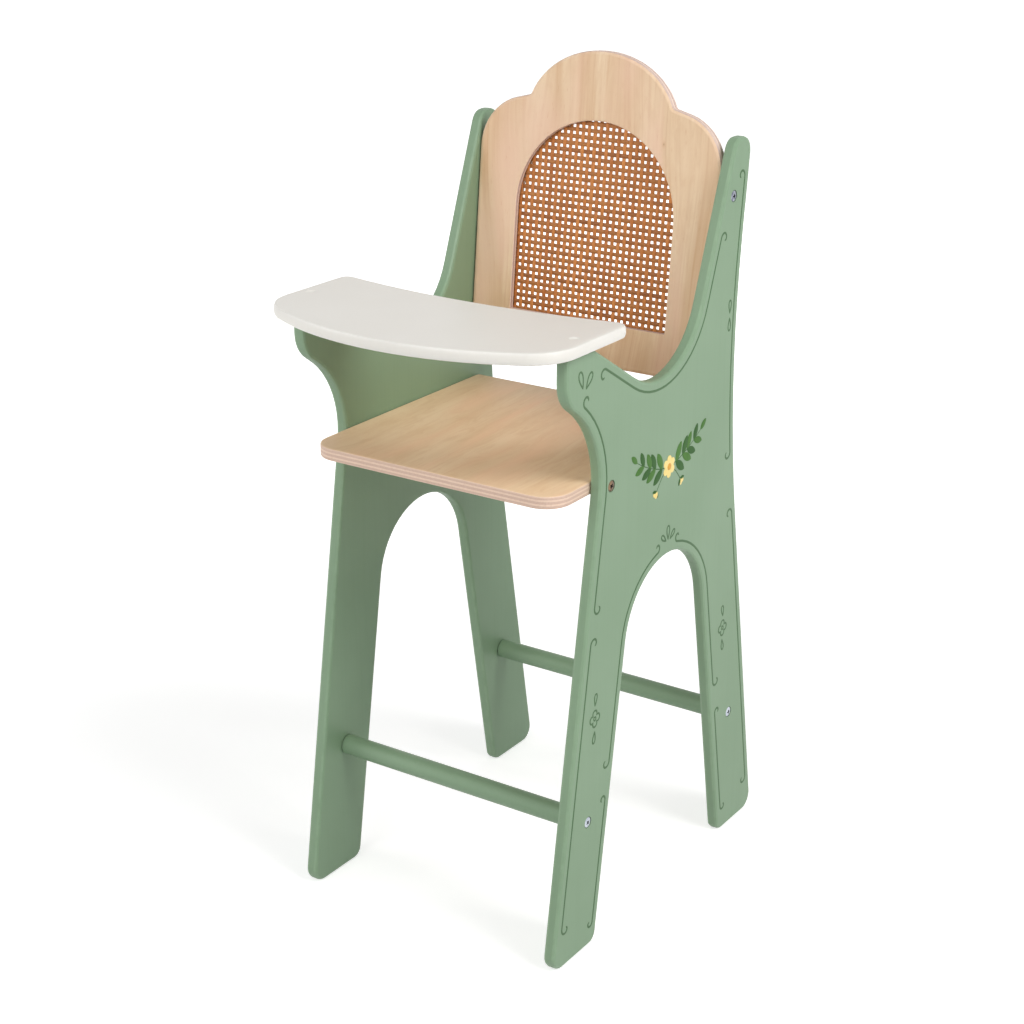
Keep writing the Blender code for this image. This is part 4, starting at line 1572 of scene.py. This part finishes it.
@dataclass
class Backrest:
    """The wooden back with its window, the cane and the frame that clamps it."""

    tilt: float = math.radians(90 - BACK_TILT)
    ply: float = 0.0015
    clamp_ply: float = 0.0009
    clamp_grain_shift: float = 0.31
    knot: Point = (0.0545, 0.1655)
    window_half: float = 0.0665
    sill: float = 0.032
    spring: float = 0.110
    margin: float = 0.0073
    pitch: float = 0.00505
    strand_half: float = 0.00152
    strand_thick: float = 0.0005
    strand_play: float = 0.00008
    strand_widths: Pair = (0.94, 1.05)
    least_reach: float = 0.0101
    swing: float = 0.00027
    level: float = -0.0052
    points_per_pitch: int = 4
    # How far up the swing the painted shade of the strands' low parts reaches, in swings.
    upright_light: float = 0.5
    across_shade_reach: float = 1.9
    seed: int = 7

    @property
    def half(self) -> float:
        """Half the cane sheet's width."""
        return self.window_half + self.margin

    @property
    def foot(self) -> float:
        """The height of the cane sheet's lower edge."""
        return self.sill - self.margin

    @property
    def first_row(self) -> float:
        """The height of the lowest crosswise strand."""
        return self.foot + self.pitch / 2

    def build(self) -> None:
        """Finish the board and the clamping frame, and weave the cane."""
        board = BoardFinish(
            "backrest_plywood_clear",
            light=srgb(250, 225, 192), dark=srgb(222, 182, 142), blush=srgb(246, 208, 182),
            ply_light=srgb(240, 216, 200), ply_dark=srgb(206, 180, 170), glue=srgb(172, 146, 134),
            tilt=self.tilt, origin=BACK_ORIGIN, ply=self.ply, contrast=1.0, knot=self.knot,
        )
        x, y, z = BACK_ORIGIN
        clamp = BoardFinish(
            "clamp_plywood_clear",
            light=srgb(222, 194, 158), dark=srgb(192, 154, 114), blush=srgb(222, 188, 156),
            ply_light=srgb(216, 188, 160), ply_dark=srgb(176, 146, 122), glue=srgb(148, 118, 100),
            tilt=self.tilt, origin=(x + self.clamp_grain_shift, y, z), ply=self.clamp_ply,
        )
        refinish(board.material(), "backrest_panel")
        refinish(clamp.material(), "cane_retaining_frame")
        self.weave()

    def strand(
        self, dice: random.Random, fixed: float, low: float, high: float, over: int, zero: float,
    ) -> Line:
        """Return one strand that runs along y in the board's own axes.

        Args:
            dice: the source of its small errors.
            fixed: where it lies across its own direction.
            low: where it starts.
            high: where it ends.
            over: 0 or 1, whether it goes over at the crossing that counts as first.
            zero: where the crossing that counts as first is.

        Returns:
            The strand's line.
        """
        across = fixed + dice.uniform(-1, 1) * self.strand_play
        count = int((high - low) / (self.pitch / self.points_per_pitch))
        points = []
        for k in range(count + 1):
            along = low + (high - low) * k / count
            wave = math.cos(math.pi * ((along - zero) / self.pitch + over))
            points.append((across, along, self.level + self.swing * wave))
        return points, [dice.uniform(*self.strand_widths)] * len(points), False

    def uprights(self, dice: random.Random) -> list[Line]:
        """Lay the upright strands side by side, up to the arch.

        Args:
            dice: the source of their small errors.

        Returns:
            The strands' lines.
        """
        columns = int(self.half / self.pitch)
        lines = []
        for k in range(-columns, columns + 1):
            edge = abs(k * self.pitch) + self.strand_half
            top = self.spring + math.sqrt(max(0.0, self.half ** 2 - edge ** 2))
            lines.append(self.strand(dice, k * self.pitch, self.foot, top, k % 2, self.first_row))
        return lines

    def crossings(self, dice: random.Random) -> list[Line]:
        """Lay the crosswise strands one above the other, as far as the arch lets them reach.

        Args:
            dice: the source of their small errors.

        Returns:
            The strands' lines.
        """
        lines = []
        for k in range(int((self.spring + self.half - self.first_row) / self.pitch) + 1):
            height = self.first_row + k * self.pitch
            above = max(0.0, height + self.strand_half - self.spring)
            reach = math.sqrt(max(0.0, self.half ** 2 - above ** 2))
            if reach > self.least_reach:
                points, widths, _ = self.strand(dice, height, -reach, reach, (k + 1) % 2, 0.0)
                lines.append(([(y, x, z) for x, y, z in points], widths, False))
        return lines

    def weave(self) -> None:
        """Weave the cane and let the strands stand for the cane sheet."""
        dice = random.Random(self.seed)
        turn = Matrix.Rotation(self.tilt, 3, "X")
        across_turn = turn @ Matrix.Rotation(QUARTER_TURN, 3, "Z")
        low = self.level - self.swing - self.strand_thick / 2
        upright_finish = CaneFinish(
            "cane_upright", (self.tilt, 0.0, 0.0), 0.0, self.pitch,
            low, self.level + self.upright_light * self.swing,
            srgb(226, 148, 78), srgb(174, 98, 42), srgb(114, 64, 30),
        )
        # The crosswise strands take darker colours than the uprights and their shade reaches
        # higher, as painted shade.
        across_finish = CaneFinish(
            "cane_crosswise", tuple(across_turn.to_euler()), -self.first_row, self.pitch,
            low, self.level + self.across_shade_reach * self.swing,
            srgb(202, 134, 72), srgb(146, 86, 42), srgb(72, 44, 26),
        )
        section = self.strand_section()
        place = Matrix.Translation(BACK_ORIGIN) @ turn.to_4x4()
        for name, strands, finish in (
            ("cane_upright_strands", self.uprights(dice), upright_finish),
            ("cane_crosswise_strands", self.crossings(dice), across_finish),
        ):
            piece = settle(drawn(name, strands, self.strand_half, section), place)
            smooth(piece, angle=60)
            dress(piece, finish.material())
            hand_over(piece, Body.CHAIR, Slot.CANE, "cane_webbing")
        bpy.data.objects.remove(section)

    def strand_section(self) -> Piece:
        """Draw the flat section of a strand.

        Returns:
            The section, a closed curve.
        """
        clear_selection()
        bpy.ops.curve.primitive_bezier_circle_add(radius=1.0)
        section = newest("strand_section")
        section.data.splines.clear()
        spline = section.data.splines.new("POLY")
        right = ((0.82, -0.8), (1, 0), (0.82, 0.8))
        left = ((-0.82, 0.8), (-1, 0), (-0.82, -0.8))
        shape = (*right[1:], (0, 1.15), *left, (0, -1.0), right[0])
        spline.points.add(len(shape) - 1)
        for point, (across, up) in zip(spline.points, shape):
            point.co = (across * self.strand_half, up * self.strand_thick / 2, 0, 1)
        spline.use_cyclic_u = True
        return section


@dataclass
class Brads:
    """The ten small brads of the clamping frame, one modelled and the others copied from it."""

    count: int = 10
    head_radius: float = 0.00125
    head_rim: float = 0.0001
    head_proud: float = 0.00035
    shank_radius: float = 0.0006
    length: float = 0.0068
    point: float = 0.0012
    point_share: float = 0.12
    spin_step: float = 37
    dome_shares: tuple[float, ...] = (1.0, 0.88, 0.62, 0.25)

    def build(self) -> None:
        """Model a brad and drive a copy in at each node's place."""
        pattern = self.model()
        zinc = BRIGHT_ZINC.material()
        turn = turned(90 - BACK_TILT, "X")
        through = turn @ Vector((0, 0, 1))
        for k in range(self.count):
            node = f"cane_frame_brad_{k + 1}"
            low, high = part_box(node)
            thick = 2 * self.shank_radius * abs(through.z)
            reach = (high.y - low.y - thick) / abs(through.y)
            foot = Matrix.Translation((low + high) / 2 - through * reach / 2)
            place = foot @ turn @ turned(self.spin_step * k)
            piece = settle(copy_of(pattern, f"{node}_domed"), place)
            dress(piece, zinc)
            hand_over(piece, Body.CHAIR, Slot.ZINC, node)
        bpy.data.objects.remove(pattern)

    def model(self) -> Piece:
        """Model one brad along z.

        Returns:
            The brad, its head below the origin and its point above.
        """
        brad = disc("brad_pattern", 16, self.head_radius, self.head_rim)
        dome = [
            (self.head_radius * share, -self.head_rim - self.head_proud * (1 - share ** 2))
            for share in self.dome_shares
        ]
        push_cap(brad, -1, dome)
        push_cap(brad, 1, [
            (self.head_radius, 0.0), (self.shank_radius, 0.0),
            (self.shank_radius, self.length - self.point),
            (self.point_share * self.shank_radius, self.length),
        ])
        turn_outwards(brad)
        smooth(brad, angle=40)
        return brad


@dataclass
class Screws:
    """The eight wood screws, one modelled and the others copied from it."""

    head_radius: float = 0.0037
    head_flat: float = 0.0004
    head_cone: float = 0.0022
    core_radius: float = 0.00125
    crest_radius: float = 0.00172
    thread_half: float = 0.00045
    thread_pitch: float = 0.0016
    thread_turns: int = 13
    thread_steps: int = 14
    thread_start: float = 0.0035
    thread_foot: float = 0.9
    length: float = 0.030
    tip: float = 0.004
    tip_share: float = 0.08
    dome: float = 0.00045
    dome_shares: tuple[float, ...] = (1.0, 0.9, 0.7, 0.42, 0.15)
    recess_length: float = 0.0044
    recess_width: float = 0.00115
    recess_depth: float = 0.0018
    recess_overshoot: float = 0.0004
    recess_foot: Pair = (0.3, 0.75)
    first_spin: float = 17
    spin_step: float = 31
    places: tuple[tuple[str, MetalFinish, Slot], ...] = (
        ("front_stretcher_screw", BRIGHT_ZINC, Slot.ZINC),
        ("rear_stretcher_screw", BRIGHT_ZINC, Slot.ZINC),
        ("seat_screw", BRONZED_STEEL, Slot.BRONZED),
        ("backrest_screw", DULL_ZINC, Slot.BRONZED),
    )

    def build(self) -> None:
        """Model a screw and put a copy in the place of each node."""
        plated = {finish: finish.material() for _, finish, _ in self.places}
        # The recess faces get near-black steel as painted shade.
        dark = PAINTED_SHADE_STEEL.material()
        pattern = self.model(plated[BRIGHT_ZINC], dark)
        for name, finish, slot in self.places:
            spin = turned(self.first_spin + self.spin_step * len(name))
            for side in Side:
                node = f"{name}_{side.word}"
                low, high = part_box(node)
                face = high.x if side is Side.RIGHT else low.x
                centre = (low + high) / 2
                place = Matrix.Translation((face, centre.y, centre.z))
                turn = turned(90 * side.value, "Y") @ spin
                piece = settle(copy_of(pattern, f"{node}_threaded"), place @ turn)
                dress(piece, plated[finish], dark)
                hand_over(piece, Body.CHAIR, slot, node)
        bpy.data.objects.remove(pattern)

    def model(self, plating: Material, dark: Material) -> Piece:
        """Model one screw along z, its head's rim at the origin's height.

        Args:
            plating: the material of its outside.
            dark: the material inside the recess, near black as painted shade.

        Returns:
            The screw.
        """
        body = disc("screw_pattern", 32, self.head_radius, self.head_flat)
        push_cap(body, 1, [
            (self.head_radius * share, self.dome * (1 - share ** 2))
            for share in self.dome_shares
        ])
        push_cap(body, -1, [
            (self.head_radius, -self.head_flat),
            (self.core_radius, -self.head_flat - self.head_cone),
            (self.core_radius, self.tip - self.length),
            (self.tip_share * self.core_radius, -self.length),
        ])
        dress(body, plating, dark)
        self.cut_recess(body, plating, dark)
        thread = self.thread()
        dress(thread, plating)
        whole = join([body, thread], "screw_pattern")
        turn_outwards(whole)
        smooth(whole, angle=35)
        return whole

    def cut_recess(self, body: Piece, *materials: Material) -> None:
        """Cut the cross recess into the head, its faces in the second material, whose near black
        is painted shade.

        Args:
            body: the screw without its thread.
            materials: its materials.
        """
        for angle in (0, 90):
            height = self.dome - self.recess_depth / 2 + self.recess_overshoot
            clear_selection()
            bpy.ops.mesh.primitive_cube_add(size=1.0, location=(0, 0, height))
            blade = newest("recess_blade")
            depth = self.recess_depth + 2 * self.recess_overshoot
            blade.scale = (self.recess_length, self.recess_width, depth)
            settle(blade)
            with editing(blade, -1):
                bpy.ops.transform.resize(value=(*self.recess_foot, 1), center_override=(0, 0, 0))
            settle(blade, turned(angle))
            dress(blade, *materials)
            for face in blade.data.polygons:
                face.material_index = 1
            cut_away(body, blade)

    def thread(self) -> Piece:
        """Model the thread as a wound ridge.

        Returns:
            The thread, its ends closed.
        """
        clear_selection()
        bpy.ops.mesh.primitive_circle_add(vertices=3, location=(0, 0, 0))
        ridge = newest("thread_pattern")
        start = self.thread_start - self.length
        inner = self.core_radius * self.thread_foot
        corners = ((inner, -self.thread_half), (self.crest_radius, 0.0), (inner, self.thread_half))
        for vertex, (across, up) in zip(ridge.data.vertices, corners):
            vertex.co = (across, 0.0, start + up)
        modify(
            ridge, "SCREW", angle=math.radians(360), screw_offset=self.thread_pitch,
            iterations=self.thread_turns, steps=self.thread_steps, render_steps=self.thread_steps,
        )
        with editing(ridge):
            bpy.ops.mesh.fill_holes(sides=3)
        return ridge


@dataclass
class Tray:
    """The cream tray with a shallow dimple above each of its two pegs."""

    dimple_radius: float = 0.0037
    dimple_depth: float = 0.0009
    flat_angle: float = 0.5

    def build(self) -> None:
        """Model and paint the tray and finish the pegs."""
        board = self.board()
        beech = RoundWoodFinish("beech_upright", (QUARTER_TURN, 0.0, 0.0)).material()
        _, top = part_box("tray")
        for side in Side:
            peg = f"tray_peg_{side.word}"
            low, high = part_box(peg)
            centre = (low + high) / 2
            self.press_dimple(board, Vector((centre.x, centre.y, top.z)))
            refinish(beech, peg)
        smooth(board, angle=35)
        modify(board, "WEIGHTED_NORMAL", mode="FACE_AREA", keep_sharp=True)
        dress(board, CREAM.material())
        hand_over(board, Body.TRAY, Slot.CREAM_PAINT, "tray")

    def board(self) -> Piece:
        """Copy the tray's node and merge its points.

        Returns:
            The copy, its flat faces whole.
        """
        piece = bpy.data.objects.new("tray_painted_board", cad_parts["tray"].data.copy())
        bpy.context.collection.objects.link(piece)
        piece.data.materials.clear()
        take(piece)
        bpy.ops.mesh.customdata_custom_splitnormals_clear()
        weld(piece)
        with editing(piece):
            bpy.ops.mesh.dissolve_limited(angle_limit=math.radians(self.flat_angle))
        return piece

    def press_dimple(self, board: Piece, centre: Vector) -> None:
        """Press a shallow round dimple into the board.

        Args:
            board: the tray's board.
            centre: the dimple's centre on the top face.
        """
        radius = (self.dimple_radius ** 2 + self.dimple_depth ** 2) / (2 * self.dimple_depth)
        clear_selection()
        bpy.ops.mesh.primitive_uv_sphere_add(
            segments=64, ring_count=96, radius=radius,
            location=centre + Vector((0, 0, radius - self.dimple_depth)),
        )
        cut_away(board, settle(newest("dimple_ball")))


def main() -> None:
    """Build the studio and every sub-assembly in order."""
    logging.basicConfig(level=logging.INFO, format="%(name)s: %(message)s")
    for part in (Studio(), SideFrames(), Seat(), Backrest(), Brads(), Screws(), Tray()):
        LOG.info("building %s", type(part).__name__)
        part.build()


if __name__ == "__main__":
    main()
